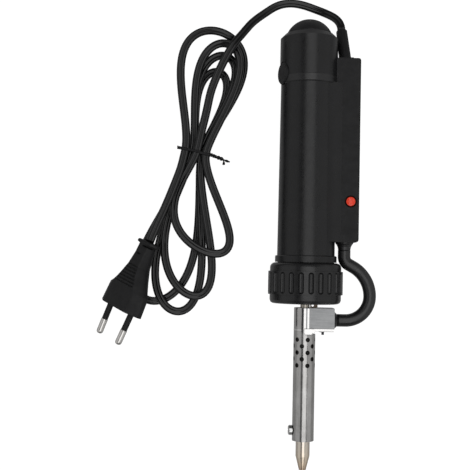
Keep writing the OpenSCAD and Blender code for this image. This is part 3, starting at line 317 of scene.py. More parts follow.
def metal(name, dark, light, rough, brush=(1, 1, 1), scale=700, relief=0.12, blotch=120):
    """Sheet or turned metal: brushed or turned marks, stains of tone, and uneven gloss."""
    mat, nodes, links, shader = new_material(name)
    at = coords(nodes, links)
    marks = noise(nodes, links, coords(nodes, links, brush), scale, 4.0, 0.65)
    tone = noise(nodes, links, at, blotch, 5.0, 0.65)
    mix = nodes.new("ShaderNodeMix")
    mix.data_type = "FLOAT"
    mix.inputs["Factor"].default_value = 0.45
    links.new(tone, mix.inputs[2])      # the float sockets A and B
    links.new(marks, mix.inputs[3])
    links.new(ramp(nodes, links, mix.outputs[0], [(0.34, dark), (0.62, light)]),
              shader.inputs["Base Color"])
    links.new(spread(nodes, links, tone, *rough), shader.inputs["Roughness"])
    bumped(nodes, links, marks, relief, 0.04 * MM, shader)
    shader.inputs["Metallic"].default_value = 1.0
    return mat


# Name, dark and light tone, the roughness's range, then the grain's scale, its relief and the level
HOUSING_BLACK = moulded("housing_black", (0.0080, 0.0080, 0.0088), (0.0115, 0.0115, 0.0125),
                        (0.46, 0.60))
BARREL_BLACK = moulded("barrel_black", (0.0075, 0.0075, 0.0084), (0.0105, 0.0105, 0.0115),
                       (0.26, 0.36), 1400, 0.12, 0.5)
KNOB_BLACK = moulded("knob_black", (0.0125, 0.0125, 0.0135), (0.017, 0.017, 0.018), (0.42, 0.58))
COLLAR_BLACK = moulded("collar_black", (0.0065, 0.0065, 0.0072), (0.0105, 0.0105, 0.0115),
                       (0.20, 0.34), 1100, 0.1, 0.62)
LEAD_BLACK = moulded("lead_black", (0.008, 0.008, 0.009), (0.013, 0.013, 0.014),
                     (0.26, 0.38), 2200, 0.12, 0.75)
CORD_BLACK = moulded("cord_black", (0.0040, 0.0040, 0.0044), (0.0070, 0.0070, 0.0076),
                     (0.10, 0.18), 2600, 0.06, 0.55)
RIM_BLACK = moulded("rim_black", (0.0100, 0.0100, 0.0110), (0.0150, 0.0150, 0.0160),
                    (0.28, 0.40), 1400, 0.12, 0.68)
# Painted shade: a dark red for the ring that stands for the shade round the lamp's lens
LENS_EDGE_SHADE = moulded("lens_edge_shade", (0.010, 0.0020, 0.0018), (0.016, 0.0030, 0.0026),
                    (0.5, 0.65), 1600, 0.1, 0.08)
PLUG_BLACK = moulded("plug_black", (0.0110, 0.0110, 0.0118), (0.0150, 0.0150, 0.0160),
                     (0.46, 0.62), 1600, 0.2)
SLEEVE_BLACK = moulded("sleeve_black", (0.008, 0.008, 0.0085), (0.012, 0.012, 0.0125),
                       (0.42, 0.55), 1800, 0.15)
TIE_BLACK = moulded("tie_black", (0.010, 0.010, 0.011), (0.018, 0.018, 0.019),
                    (0.5, 0.65), 2500, 0.4)
# Name, dark and light tone, the roughness's range, then the brushing's stretch, scale and relief
SHROUD_STEEL = metal("shroud_steel", (0.46, 0.45, 0.44), (0.64, 0.63, 0.62),
                     (0.14, 0.22), (1, 0.04, 1), 1500, 0.02)
BRACKET_STEEL = metal("bracket_steel", (0.26, 0.265, 0.27), (0.40, 0.405, 0.41),
                      (0.30, 0.44), (0.08, 1, 1), 1700, 0.08)
# A painted highlight: the bracket's and shroud's steel made near white on their bent edges and step
HIGHLIGHT_STEEL = metal("painted_highlight_steel", (0.82, 0.81, 0.80), (0.96, 0.95, 0.94),
                    (0.10, 0.22), (1, 0.1, 1), 900, 0.02)
TINTED_STEEL = metal("tinted_steel", (0.07, 0.055, 0.045), (0.20, 0.15, 0.11), (0.25, 0.45))
SCREW_STEEL = metal("screw_steel", (0.62, 0.62, 0.61), (0.85, 0.85, 0.84), (0.10, 0.22))
# Dark steel for the screws, also laid as painted shade in the shroud's groove and seam
DARK_STEEL_AND_SHADE = metal("dark_steel", (0.05, 0.05, 0.052), (0.11, 0.11, 0.115), (0.3, 0.5))
SPRING_STEEL = metal("spring_steel", (0.42, 0.42, 0.41), (0.60, 0.60, 0.59), (0.2, 0.34))
ROD_STEEL = metal("rod_steel", (0.50, 0.50, 0.50), (0.68, 0.68, 0.67),
                  (0.14, 0.24), (1, 1, 1), 900, 0.05)
PIN_NICKEL = metal("pin_nickel", (0.74, 0.72, 0.69), (0.94, 0.92, 0.89), (0.10, 0.24))
TUBE_METAL = metal("tube_metal", (0.50, 0.46, 0.40), (0.66, 0.62, 0.55), (0.22, 0.36))
CORE_DARK = moulded("core_dark", (0.018, 0.017, 0.016), (0.032, 0.030, 0.028),
                    (0.6, 0.8), 1800, 0.5, 0.3)
HUB_PLASTIC = moulded("hub_plastic", (0.10, 0.095, 0.085), (0.15, 0.14, 0.125), (0.45, 0.6))
SEAL_RUBBER = moulded("seal_rubber", (0.30, 0.045, 0.025), (0.40, 0.065, 0.035), (0.45, 0.6))
PISTON_BLACK = moulded("piston_black", (0.022, 0.022, 0.023), (0.034, 0.034, 0.035), (0.4, 0.55))
WIRE_SLEEVE = moulded("wire_sleeve", (0.62, 0.60, 0.55), (0.75, 0.73, 0.68),
                      (0.5, 0.7), 2500, 0.4, 0.5)
SPLICE_RED = moulded("splice_red", (0.36, 0.055, 0.03), (0.46, 0.08, 0.045), (0.4, 0.55))
RESISTOR_TAN = moulded("resistor_tan", (0.46, 0.36, 0.20), (0.56, 0.45, 0.27), (0.4, 0.55))


def red_lens():
    """Clear red plastic, with a faint painted glow."""
    mat, nodes, links, shader = new_material("lens_red")
    at = coords(nodes, links)
    tone = noise(nodes, links, at, 420, 3.0)
    links.new(ramp(nodes, links, tone, [(0.3, (0.78, 0.035, 0.016)), (0.7, (0.92, 0.060, 0.028))]),
              shader.inputs["Base Color"])
    links.new(spread(nodes, links, tone, 0.16, 0.28), shader.inputs["Roughness"])
    bumped(nodes, links, noise(nodes, links, at, 900), 0.12, 0.04 * MM, shader)
    # A painted glow: the lens shines faintly as if its lamp were lit
    shader.inputs["Emission Color"].default_value = (1.0, 0.09, 0.035, 1.0)
    shader.inputs["Emission Strength"].default_value = 0.22
    shader.inputs["Subsurface Weight"].default_value = 0.35
    shader.inputs["Subsurface Radius"].default_value = (0.0012, 0.0003, 0.0002)
    shader.inputs["Subsurface Scale"].default_value = 1.0
    return mat


LENS_RED = red_lens()

NOZZLE_TIP_Y, NOZZLE_ROOT_Y = -0.1292, -0.1122      # in metres, in the CAD's frame


def nozzle_metal():
    """Tinned copper, brown and straw-tinted by heat towards its tip."""
    mat, nodes, links, shader = new_material("nozzle_metal")
    where = nodes.new("ShaderNodeTexCoord")
    split = nodes.new("ShaderNodeSeparateXYZ")
    links.new(where.outputs["Object"], split.inputs["Vector"])
    at = coords(nodes, links)
    tone = noise(nodes, links, at, 260, 5.0, 0.65)
    along = spread(nodes, links, split.outputs["Y"], 0.0, 1.0, NOZZLE_TIP_Y, NOZZLE_ROOT_Y)
    mix = nodes.new("ShaderNodeMath")
    mix.operation = "MULTIPLY_ADD"
    links.new(tone, mix.inputs[0])
    mix.inputs[1].default_value = 0.34
    links.new(along, mix.inputs[2])
    links.new(ramp(nodes, links, mix.outputs[0], [
        (0.10, (0.46, 0.32, 0.22)), (0.34, (0.84, 0.68, 0.52)), (0.62, (0.94, 0.82, 0.67)),
        (1.0, (0.90, 0.82, 0.72)),
    ]), shader.inputs["Base Color"])
    links.new(spread(nodes, links, tone, 0.10, 0.24), shader.inputs["Roughness"])
    turned = noise(nodes, links, coords(nodes, links, (1, 6, 1)), 700)
    bumped(nodes, links, turned, 0.05, 0.04 * MM, shader)
    shader.inputs["Metallic"].default_value = 1.0
    return mat


NOZZLE_METAL = nozzle_metal()

# The solids that stay as they are; the springs, leads, tie and plug are replaced further down
NODE_MATERIALS = {
    "barrel": BARREL_BLACK, "top_cap": BARREL_BLACK, "plunger_knob": KNOB_BLACK,
    "release_button": KNOB_BLACK, "side_housing": HOUSING_BLACK, "housing_cover": HOUSING_BLACK,
    "indicator_lens": LENS_RED, "strain_relief": HOUSING_BLACK, "lead_grommet": LEAD_BLACK,
    "lead_cuff": LEAD_BLACK, "collar_nut": COLLAR_BLACK, "suction_tube": TUBE_METAL,
    "heater_bracket": BRACKET_STEEL, "bracket_screw": DARK_STEEL_AND_SHADE, "heater_shroud": SHROUD_STEEL,
    "nozzle": NOZZLE_METAL, "nozzle_set_screw": SCREW_STEEL, "plunger_rod": ROD_STEEL,
    "piston": PISTON_BLACK, "piston_ring": SEAL_RUBBER, "piston_screw": SCREW_STEEL,
    "latch_plate": SCREW_STEEL, "front_plug": HUB_PLASTIC, "front_seal": SEAL_RUBBER,
    "heater_core": CORE_DARK, "heater_wires": WIRE_SLEEVE, "housing_screws": SCREW_STEEL,
    "indicator_lamp": RESISTOR_TAN, "lamp_resistor": RESISTOR_TAN, "wire_splices": SPLICE_RED,
    "inner_wires": WIRE_SLEEVE, "pin_sleeves": SLEEVE_BLACK,
}
for node_name, node_material in NODE_MATERIALS.items():
    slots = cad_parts[node_name].data.materials
    slots.clear()
    slots.append(node_material)


# ---- The mains lead: one flat twin lead from the strain relief through the hank to the plug ----

CORD_SPACING = 1.6                  # between the cord's sections
LOBE_ARC, LOBE_STEPS = 132, 14      # the degrees that each lobe turns to either side, and its steps
LOOP_STEPS = 24
LOOP_POWER = 0.7                    # below 1, the steps are longest by the waist
BELLY_PEAK = 0.6495                 # the most that sin(t) * sin(t / 2) ** 2 reaches
ROW_FROM, ROW_OVER = 110, 140       # where round a loop the cord changes its row, in degrees
LIFT_FADE = 25                      # the distance from the waist over which its lift fades out


def ease(x):
    """0 up to 0, 1 from 1 on, and smooth between."""
    u = min(1.0, max(0.0, x))
    return u * u * (3 - 2 * u)


def hank_points():
    """The hank's middle line in its own frame: along, sideways and up."""
    half = LOOP_STEPS / 2
    top = CORD_T / 2 + TOP_ROW * ROW_PITCH + WAIST_LIFT
    points = [(LEAD_IN, PASSES[0][0], top)]
    for i, (length, width, lean) in enumerate(LOOPS):
        side = 1 if i % 2 else -1
        (col_a, row_a), (col_b, row_b) = PASSES[i], PASSES[i + 1]
        for k in range(0 if i == 0 else 1, LOOP_STEPS + 1):
            if k <= half:
                t = 180 * (k / half) ** LOOP_POWER
            else:
                t = 360 - 180 * ((LOOP_STEPS - k) / half) ** LOOP_POWER
            turn = math.radians(t)
            along = side * length * (1 - math.cos(turn)) / 2
            belly = width / 2 * math.sin(turn) * math.sin(turn / 2) ** 2 / BELLY_PEAK
            bow = math.tan(math.radians(lean)) * along * along / length
            across = col_a + (col_b - col_a) * ease(t / 360)
            row = row_a + (row_b - row_a) * ease((t - ROW_FROM) / ROW_OVER)
            lift = WAIST_LIFT * (1 - ease(abs(along) / LIFT_FADE))
            points.append((along, across + side * belly + bow, CORD_T / 2 + row * ROW_PITCH + lift))
    points.append((-LEAD_OUT, PASSES[-1][0], top))
    return points


def on_bench(along, across, up):
    """A point of the hank's own frame, turned and moved to its place on the bench."""
    s, c = math.sin(HANK_TURN), math.cos(HANK_TURN)
    return Vector((WAIST[0] - along * s + across * c, WAIST[1] + along * c + across * s, up)) * MM


cord_points = [Vector(p) * MM for p in MAINS_ROUTE]
cord_points += [on_bench(*p) for p in hank_points()]
cord_points += [Vector(p) * MM for p in TAIL_ROUTE]
cord_path = smooth_path(cord_points, CORD_SPACING * MM)

lobe_r = CORD_T / 2
lobe_x = CORD_W / 2 - lobe_r
cord_section = []
for side in (1, -1):
    for k in range(LOBE_STEPS + 1):
        a = side * math.radians(-LOBE_ARC + 2 * LOBE_ARC * k / LOBE_STEPS)
        x, y = side * (lobe_x + lobe_r * math.cos(a)), lobe_r * math.sin(a)
        cord_section.append((x * MM, y * MM))
mains_lead = sweep("mains_lead", cord_path, cord_section, CORD_BLACK, "barrel_body")
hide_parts("mains_cord", "cord_hank", "cord_tail")


# ---- The heater lead: a rubber lead in three bends, from the housing down to its cuff ----

LEAD_R = 3.6
LEAD_EXIT_X, LEAD_TOP = 22.0, 125.6                  # where it leaves the housing, downwards
BEND_HIGH, BEND_MID, BEND_LOW = 4.8, 19.2, 13.9      # its three bends: out, and back in two radii
SLANT = 3.0                                          # the straight below the high bend
LEAD_REACH = 37.0                                    # how far its middle line swings out
CUFF_END, WIRE_Z = 18.5, 85.3                        # where it ends in its cuff, and at what height

low_x, low_z = LEAD_REACH - BEND_LOW, WIRE_Z + BEND_LOW
mid_x = LEAD_REACH - BEND_MID
bends = BEND_MID + BEND_HIGH
swing = (math.acos((LEAD_EXIT_X + BEND_HIGH - mid_x) / math.hypot(bends, SLANT))
         - math.atan(SLANT / bends))
high_z = low_z + bends * math.sin(swing) + SLANT * math.cos(swing)


def bend(x, z, radius, turns):
    """Points on an arc about a middle: x, z and the turn of the lead's section there."""
    return [(x + radius * math.cos(a), z + radius * math.sin(a), a) for a in turns]


lead_line = [(LEAD_EXIT_X, LEAD_TOP - (LEAD_TOP - high_z) * k / 4, 0.0) for k in range(4)]
for k in range(17):
    a = swing * k / 16
    x = LEAD_EXIT_X + BEND_HIGH * (1 - math.cos(a))
    lead_line.append((x, high_z - BEND_HIGH * math.sin(a), a))
lead_line += bend(mid_x, low_z, BEND_MID, (swing * (1 - k / 28) for k in range(29)))
lead_line += bend(low_x, low_z, BEND_LOW, (-math.pi / 2 * k / 32 for k in range(1, 33)))
for k in range(1, 5):
    lead_line.append((low_x + (CUFF_END - low_x) * k / 4, WIRE_Z, -math.pi / 2))
lead_rings = []
for x, z, a in lead_line:
    ring = []
    for b in around(40):
        reach = LEAD_R * math.cos(b)
        ring.append(laid(x + reach * math.cos(a), LEAD_R * math.sin(b), z + reach * math.sin(a)))
    lead_rings.append(ring)
heater_lead = loft("heater_lead_rubber", lead_rings, LEAD_BLACK, None)
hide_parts("heater_lead")
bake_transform(heater_lead)

# ---- The two springs, as coils of wire ----

# The coil's radius and its wire's, the turns, and the heights of both ends
MAIN_SPRING = (11.2, 0.8, 12, 111.1, 139.9)
LATCH_SPRING = (1.5, 0.3, 5, 8.05, 11.97)
COIL_STEPS, WIRE_SIDES = 28, 10


def wire_ring(place, radius, wire, turn, z, sides):
    """A wire's round section at a turn about the local Z axis, which place puts in the scene."""
    ring = []
    for b in around(sides):
        r = radius + wire * math.cos(b)
        ring.append(place(r * math.cos(turn), r * math.sin(turn), z + wire * math.sin(b)))
    return ring


def coil(name, place, radius, wire, turns, start, end):
    """A coil spring about the local Z axis."""
    rings = []
    steps = COIL_STEPS * turns
    for i in range(steps + 1):
        z = start + wire + (end - start - 2 * wire) * i / steps
        rings.append(wire_ring(place, radius, wire, 2 * math.pi * i / COIL_STEPS, z, WIRE_SIDES))
    return loft(name, rings, SPRING_STEEL, None)


def at_button(x, y, z):
    """A point measured from the button's axis, whose Z runs from the button into the cap."""
    c, s = math.cos(BUTTON_TURN), math.sin(BUTTON_TURN)
    return laid(z * c - y * s, z * s + y * c, BUTTON_Z - x)


main_coil = coil("main_spring_wire", laid, *MAIN_SPRING)
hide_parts("main_spring")
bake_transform(main_coil)
latch_coil = coil("latch_spring_wire", at_button, *LATCH_SPRING)
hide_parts("latch_spring")
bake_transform(latch_coil)

# ---- Fine pieces on the heater's bracket and shroud ----

FOLD_BACK, FOLD_CORNER, FOLD_BEVEL = 5.8, 0.3, 0.12


def fold(name, left, right, front):
    """A bright upright fold, facing as the bracket's plate does, with a bevelled rim, in steel
    lightened to a painted highlight.
    """
    low, high = BRACKET_FOOT - 0.4, SHROUD_TOP - 0.1
    rim = rounded_outline([(left, low), (right, low), (right, high), (left, high)], FOLD_CORNER)
    middle = sum(rim, Vector((0, 0))) / len(rim)
    inner = [p + (middle - p).normalized() * FOLD_BEVEL for p in rim]
    rings = [[laid(p.x, -y, p.y) for p in ring]
             for ring, y in ((rim, FOLD_BACK), (rim, front - FOLD_BEVEL * 0.7), (inner, front))]
    sharpen(loft(name, rings, HIGHLIGHT_STEEL, "front"), 20)


def wrapped(name, degrees, heights, rise, material):
    """A thin patch that follows the shroud's curve between two angles from its front."""
    start, end = degrees
    arc = [math.radians(start + (end - start) * k / 12) for k in range(13)]
    section = [(SHROUD_R + rise, a) for a in arc] + [(SHROUD_R - 0.05, a) for a in reversed(arc)]
    rings = [[laid(r * math.sin(a), -r * math.cos(a), z) for r, a in section] for z in heights]
    sharpen(loft(name, rings, material, "front"), 40)


# The two folds where the bracket's front wall turns on to the shroud, in steel lightened to a
# painted highlight: their sides and fronts
fold("fold_outer", -0.95, 0.3, 6.55)
fold("fold_inner", 0.95, 2.05, 7.0)

# The lip along the plate's foot, in steel lightened to a painted highlight, which sweeps down on to
# the shell's top edge
LIP_START, LIP_LEN = -0.7, 17.0
LIP_ABOVE, LIP_BELOW = 0.2, 1.35      # its edges, from the bracket's foot
LIP_SWEEP = 2.2                       # how much further down it goes over the shell
LIP_FRONT, LIP_BACK, LIP_BEVEL = PLATE_Y + 0.72, PLATE_Y - 0.6, 0.25
lip_rings = []
for k in range(33):
    x = LIP_START + LIP_LEN * k / 32
    sweep_down = LIP_SWEEP * (1 - ease((x - 3.4) / 2.6)) * ease((x + 1.3) / 1.2)
    z0, z1 = BRACKET_FOOT + LIP_ABOVE, BRACKET_FOOT - LIP_BELOW - sweep_down
    ring = []
    for u in (0.0, 0.08, 0.5, 0.92, 1.0):
        y = LIP_FRONT - (LIP_BEVEL if u in (0.0, 1.0) else 0.0)
        ring.append(laid(x, -y, z0 + (z1 - z0) * u))
    ring += [laid(x, -LIP_BACK, z1), laid(x, -LIP_BACK, z0)]
    lip_rings.append(ring)
sharpen(loft("plate_lip", lip_rings, HIGHLIGHT_STEEL, "front"), 50)

# The screw's nut and its threaded end below the lip: name, x, foot, top and radius
SCREW_Y, THREAD_ROOT = 5.2, 0.86
SCREW_PIECES = (("screw_nut", 9.4, 78.7, 79.8, 1.5), ("screw_end", 9.9, 77.2, 79.0, 0.8))
for name, x, z0, z1, r in SCREW_PIECES:
    rings = []
    for i in range(9):
        z = z0 + (z1 - z0) * i / 8
        thread = r * (1.0 if i % 2 else THREAD_ROOT)
        rings.append([laid(x + thread * math.cos(a), -SCREW_Y + thread * math.sin(a), z)
                      for a in around(24)])
    loft(name, rings, DARK_STEEL_AND_SHADE, "front")

# The pressed panel, its groove in painted shade, the step in painted highlight, and the seam in
# painted shade on the shroud's upper shell
wrapped("panel", (-49, -22), (85.1, 91.6), 0.14, SHROUD_STEEL)
wrapped("panel_groove_shade", (-56, -50), (81.6, SHROUD_TOP - 0.15), 0.03, DARK_STEEL_AND_SHADE)
wrapped("shell_step", (-84, -22), (79.4, 80.0), 0.16, HIGHLIGHT_STEEL)
wrapped("shell_seam_shade", (-21, -13), (78.6, SHROUD_TOP - 0.15), 0.05, DARK_STEEL_AND_SHADE)

# The tab is browned by the heater's warmth: a thin plate round its hole
TAB_HOLE, HOLE_R = (4.4, 93.55), 0.72
TINT_RIGHT, TINT_LEFT, TINT_HALF = 2.75, 1.35, 1.3      # its edges, from the hole's middle
TINT_STEPS = 32
tab_rings = []
for y in (0.56, 0.46):
    outer, inner = [], []
    for a in around(TINT_STEPS):
        c, s = math.cos(a), math.sin(a)
        side = TINT_RIGHT if c > 0 else TINT_LEFT
        reach = min(side / max(abs(c), 1e-9), TINT_HALF / max(abs(s), 1e-9))
        outer.append(laid(TAB_HOLE[0] + reach * c, -y, TAB_HOLE[1] + reach * s))
        inner.append(laid(TAB_HOLE[0] + HOLE_R * c, -y, TAB_HOLE[1] + HOLE_R * s))
    tab_rings += [outer, inner]
tab_faces = []
for a, b in ((0, 1), (1, 3), (3, 2), (2, 0)):
    a, b = a * TINT_STEPS, b * TINT_STEPS
    for k in range(TINT_STEPS):
        m = (k + 1) % TINT_STEPS
        tab_faces.append((a + k, a + m, b + m, b + k))
add_mesh("tab_tint", [p for ring in tab_rings for p in ring], tab_faces, TINTED_STEEL, "front",
         smooth=False)

# ---- The band over the joint between barrel and cap, open round the release button ----

BAND_FOOT, BAND_TOP, BAND_INNER = 219.4, 224.8, 14.9
BAND_LOW_R, BAND_RISE = 15.5, 1.5      # its radius low down, which grows by 1 mm over the rise
BUTTON_GAP = 26                        # in degrees, to either side of the button
band = [(BAND_INNER, BAND_FOOT)]
band += [(BAND_LOW_R + ease(k / 8), BAND_FOOT + BAND_RISE * k / 8) for k in range(9)]
band += [(16.52, 221.8), (16.56, 222.6), (16.68, 223.4), (16.72, 224.2), (16.6, BAND_TOP)]
band.append((BAND_INNER, BAND_TOP))
band_rings = []
for k in range(89):
    a = math.radians(-180 + BUTTON_GAP + (360 - 2 * BUTTON_GAP) * k / 88)
    band_rings.append([laid(r * math.cos(a), r * math.sin(a), z) for r, z in band])
loft("cap_rolled_edge", band_rings, RIM_BLACK, "barrel_body")

# ---- The rim round the collar's foot, and a dark ring of painted shade round the lamp's lens ----

COLLAR_FOOT, COLLAR_R = 95.1, 18.75
LENS_X, LENS_Z, LENS_R = 24.6, 153.2, 2.98
RIM_WIRE = 0.42      # half the thickness of both


def torus(name, place, radius, material, body, turns=96, sides=16):
    """A ring about the local Z axis, closed on itself."""
    rings = [wire_ring(place, radius, RIM_WIRE, 2 * math.pi * i / turns, 0.0, sides)
             for i in range(turns + 1)]
    loft(name, rings, material, body, caps=False)


torus("collar_foot_rim", lambda x, y, z: laid(x, y, COLLAR_FOOT + z), COLLAR_R,
      COLLAR_BLACK, "collar")
# A dark ring of painted shade round the lens
torus("lens_shade_ring", lambda x, y, z: laid(LENS_X + x, -HOUSING_FACE - z, LENS_Z + y), LENS_R,
      LENS_EDGE_SHADE, "barrel_body", 64, 12)

# ---- The fillet between the barrel and the housing ----

FILLET_FOOT, FILLET_LEN = 130.1, 90.9
FILLET_TURN = math.radians(42)                            # where it leaves the barrel
FILLET_CORNER, FILLET_END = (5.3, 0.75), (8.2, 0.02)      # past that point, above the housing
FILLET_DEPTH, FILLET_SINK = 0.6, 0.9                      # under the two surfaces


def barrel_radius(z):
    """The tapered barrel's radius at a height."""
    (z0, r0), (z1, r1) = BARREL_FOOT, BARREL_TOP
    return r0 + (r1 - r0) * (z - z0) / (z1 - z0)


fillet_rings = []
for k in range(25):
    z = FILLET_FOOT + FILLET_LEN * k / 24
    r = barrel_radius(z)
    start = (r * math.sin(FILLET_TURN), r * math.cos(FILLET_TURN))
    corner = (start[0] + FILLET_CORNER[0], HOUSING_FACE + FILLET_CORNER[1])
    end = (start[0] + FILLET_END[0], HOUSING_FACE + FILLET_END[1])
    ring = []
    for j in range(13):
        u = j / 12
        ring.append([(1 - u) ** 2 * start[i] + 2 * u * (1 - u) * corner[i] + u * u * end[i]
                     for i in (0, 1)])
    inner_x, inner_y = start[0] - FILLET_DEPTH, HOUSING_FACE - FILLET_DEPTH
    ring += [(end[0], inner_y), (inner_x, inner_y), (inner_x, start[1] - FILLET_SINK)]
    fillet_rings.append([laid(x, -y, z) for x, y in ring])
sharpen(loft("housing_fillet", fillet_rings, BARREL_BLACK, "barrel_body"), 40)

# ---- The twist tie ----

TIE_GAP = 0.45                                # between the cord and the tie's middle line
TIE_CORNER = 1.1
BAND_SIZE, STRAND_SIZE = (1.6, 0.75), (1.5, 0.85)      # width over the wings, and thickness
TWIST_TURNS, TWIST_LEN = 2.25, 7.0
STRAND_SPACING = 0.35

columns = [column for column, row in PASSES]
tie_half = CORD_W / 2 + TIE_GAP
tie_foot = WAIST_LIFT - TIE_GAP - 0.1
tie_top = WAIST_LIFT + CORD_T + TOP_ROW * ROW_PITCH + TIE_GAP
tie_right, tie_left = max(columns) + tie_half, min(columns) - tie_half
tie_corners = [
    (PASSES[2][0] - tie_half, tie_foot), (PASSES[3][0] + tie_half, tie_foot),
    (tie_right, tie_top - CORD_T - TIE_GAP), (tie_right, tie_top),
    (1.0, tie_top + 0.15), (tie_left - 1.7, tie_top - 0.1),
    (tie_left - 1.9, tie_top - 1.5), (tie_left + 1.2, tie_top - 4.2),
]


def ribbon_ring(middle, side, out, width, thick):
    """A paper-and-wire section: thin wings beside a round core."""
    core = thick / 2
    upper = [(-width / 2, 0.12), (-core, 0.16), (-core * 0.7, core * 0.7), (0, core),
             (core * 0.7, core * 0.7), (core, 0.16), (width / 2, 0.12)]
    shape = upper + [(u, -v) for u, v in reversed(upper)]
    return [middle + (side * u + out * v) * MM for u, v in shape]


outline = rounded_outline(tie_corners, TIE_CORNER)
along_hank = (on_bench(1, 0, 0) - on_bench(0, 0, 0)).normalized()
tie_rings = []
for i, p in enumerate(outline):
    ahead = outline[(i + 1) % len(outline)] - outline[i - 1]
    normal = Vector((ahead.y, -ahead.x)).normalized()
    out = (on_bench(0, p.x + normal.x, p.y + normal.y) - on_bench(0, p.x, p.y)).normalized()
    drift = 0.35 * math.sin(i * 0.9)
    tie_rings.append(ribbon_ring(on_bench(drift, p.x, p.y), along_hank, out, *BAND_SIZE))
tie_band = loft("twist_tie_band", tie_rings + [tie_rings[0]], TIE_BLACK, "barrel_body", caps=False)
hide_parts("twist_tie")

strand_x = tie_right + 0.3
strand_z = WAIST_LIFT + CORD_T / 2 + TOP_ROW * ROW_PITCH


def tie_strand(name, turn, ends):
    """One of the tie's two strands: twisted round the other, then bent away on its own."""
    path = []
    for k in range(33):
        u = k / 32
        a = turn + 2 * math.pi * TWIST_TURNS * u
        path.append(on_bench(-0.9 * u + 0.55 * math.cos(a), strand_x + TWIST_LEN * u,
                             strand_z - 0.9 * u + 0.5 * math.sin(a)))
    last = path[-1]
    for end in ends:
        path.append(last + Vector(end) * MM)
    path = smooth_path(path, STRAND_SPACING * MM, 2)
    rings = []
    for i, p in enumerate(path):
        ahead = (path[min(len(path) - 1, i + 1)] - path[max(0, i - 1)]).normalized()
        across = ahead.cross(Vector((0, 0, 1))).normalized()
        up = across.cross(ahead)
        a = turn + i * 0.33
        side = across * math.cos(a) + up * math.sin(a)
        out = up * math.cos(a) - across * math.sin(a)
        rings.append(ribbon_ring(p, side, out, *STRAND_SIZE))
    loft(name, rings, TIE_BLACK, "barrel_body")


tie_strand("twist_tie_end_a", 0.0, [(1.6, -0.7, 0.1), (3.1, -1.2, -0.2), (4.3, -1.5, -0.6)])
tie_strand("twist_tie_end_b", math.pi, [(0.8, -0.9, 0.0), (0.9, -2.2, -0.3), (0.8, -3.2, -0.7)])

# ---- The mains plug ----

PLUG = (Matrix.Translation(Vector(PLUG_AT) * MM) @ Matrix.Rotation(PLUG_HEADING, 4, "Z")
        @ Matrix.Rotation(math.pi / 2, 4, "Y") @ Matrix.Rotation(PLUG_ROLL, 4, "Z")
        @ Matrix.Scale(MM, 4))
PLUG_SECTIONS = [      # height from the cord's end, half width and half thickness
    (0, 8.2, 5), (1.8, 8.4, 5), (2.2, 5.7, 4.3), (8, 5.9, 4.6), (15.4, 7, 5.6),
    (22, 10, 6.5), (28, 14, 6.85), (30, 15.8, 6.85), (42, 16.6, 6.85),
]
PLUG_CORNER, PLUG_STEPS = 1.3, 112
GRIPS = [(15.5 + 1.9 * i, 4.2 + 0.6 * i) for i in range(7)]      # height and half width
GRIP_DEPTH, GRIP_FLAT = 0.62, 0.4
NECK_SLOTS = [(8.1, -2.9, 1.0), (3.0, 0.3, 9.0)]      # height, and from where to where across
SLOT_DEPTH, SLOT_HALF = 1.4, 0.5


def plug_section(z):
    """The moulding's half width and half thickness at a height."""
    for (z0, w0, t0), (z1, w1, t1) in zip(PLUG_SECTIONS, PLUG_SECTIONS[1:]):
        if z <= z1:
            u = (z - z0) / (z1 - z0)
            return w0 + (w1 - w0) * u, t0 + (t1 - t0) * u
    return PLUG_SECTIONS[-1][1:]


def even_outline(points, count):
    """A closed outline as evenly spaced points, starting from its first."""
    lengths = [0.0]
    closed = points + [points[0]]
    for a, b in zip(closed, closed[1:]):
        lengths.append(lengths[-1] + (b - a).length)
    out, j = [], 0
    for k in range(count):
        want = lengths[-1] * k / count
        while lengths[j + 1] < want:
            j += 1
        share = (want - lengths[j]) / (lengths[j + 1] - lengths[j])
        out.append(closed[j].lerp(closed[j + 1], share))
    return out


def plug_ring(z, inset):
    """The moulding's outline at a height, with its grip lines and neck slots pressed in."""
    w, t = plug_section(z)
    w, t = w - inset, t - inset
    flat, edge = w * 0.6, t * 0.22
    corners = [(-w, -edge), (-flat, -t), (flat, -t), (w, -edge),
               (w, edge), (flat, t), (-flat, t), (-w, edge)]
    ring = []
    for p in even_outline(rounded_outline(corners, PLUG_CORNER), PLUG_STEPS):
        x, y = p
        if abs(y) > t - GRIP_FLAT:
            for at, half in GRIPS:
                across = 1 - ease((abs(x) - half + 0.3) / 0.6)
                dip = GRIP_DEPTH * across * (1 - ease((abs(z - at) - 0.14) / 0.34))
                y -= math.copysign(dip, y)
        for at, low, high in NECK_SLOTS:
            across = ease((x - low) / 0.3 + 1) * (1 - ease((x - high) / 0.3))
            near = max(0.0, 1 - abs(z - at) / SLOT_HALF)
            dip = SLOT_DEPTH * across * near * ease((abs(p.y) - 0.2 * t) / 0.6)
            x -= math.copysign(0.3 * dip, x)
            y -= math.copysign(min(dip, 0.8 * abs(y)), y)
        ring.append(PLUG @ Vector((x, y, z)))
    return ring


# The moulding's levels: height and inset, finest where the slots and grip lines are
levels = [(0.0, 0.5), (0.15, 0.2), (0.5, 0.0), (1.3, 0.0), (1.7, 0.15), (1.85, 0.5)]
levels += [(2.25 + 0.16 * i, 0.0) for i in range(78)]
levels += [(14.8 + 0.16 * i, 0.0) for i in range(84)]
levels += [(28.6 + 0.35 * i, 0.0) for i in range(37)]
levels += [(PLUG_LEN - 0.3, 0.0), (PLUG_LEN - 0.12, 0.06), (PLUG_LEN, 0.22)]
plug_rings = [plug_ring(z, inset) for z, inset in levels]
plug_body = loft("plug_moulding", plug_rings, PLUG_BLACK, "barrel_body")
sharpen(plug_body, 38)
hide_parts("plug_body")


def turned(profile, sides):
    """Rings about the Z axis, from pairs of radius and height."""
    return [[Vector((r * math.cos(a), r * math.sin(a), z)) for a in around(sides)]
            for r, z in profile]


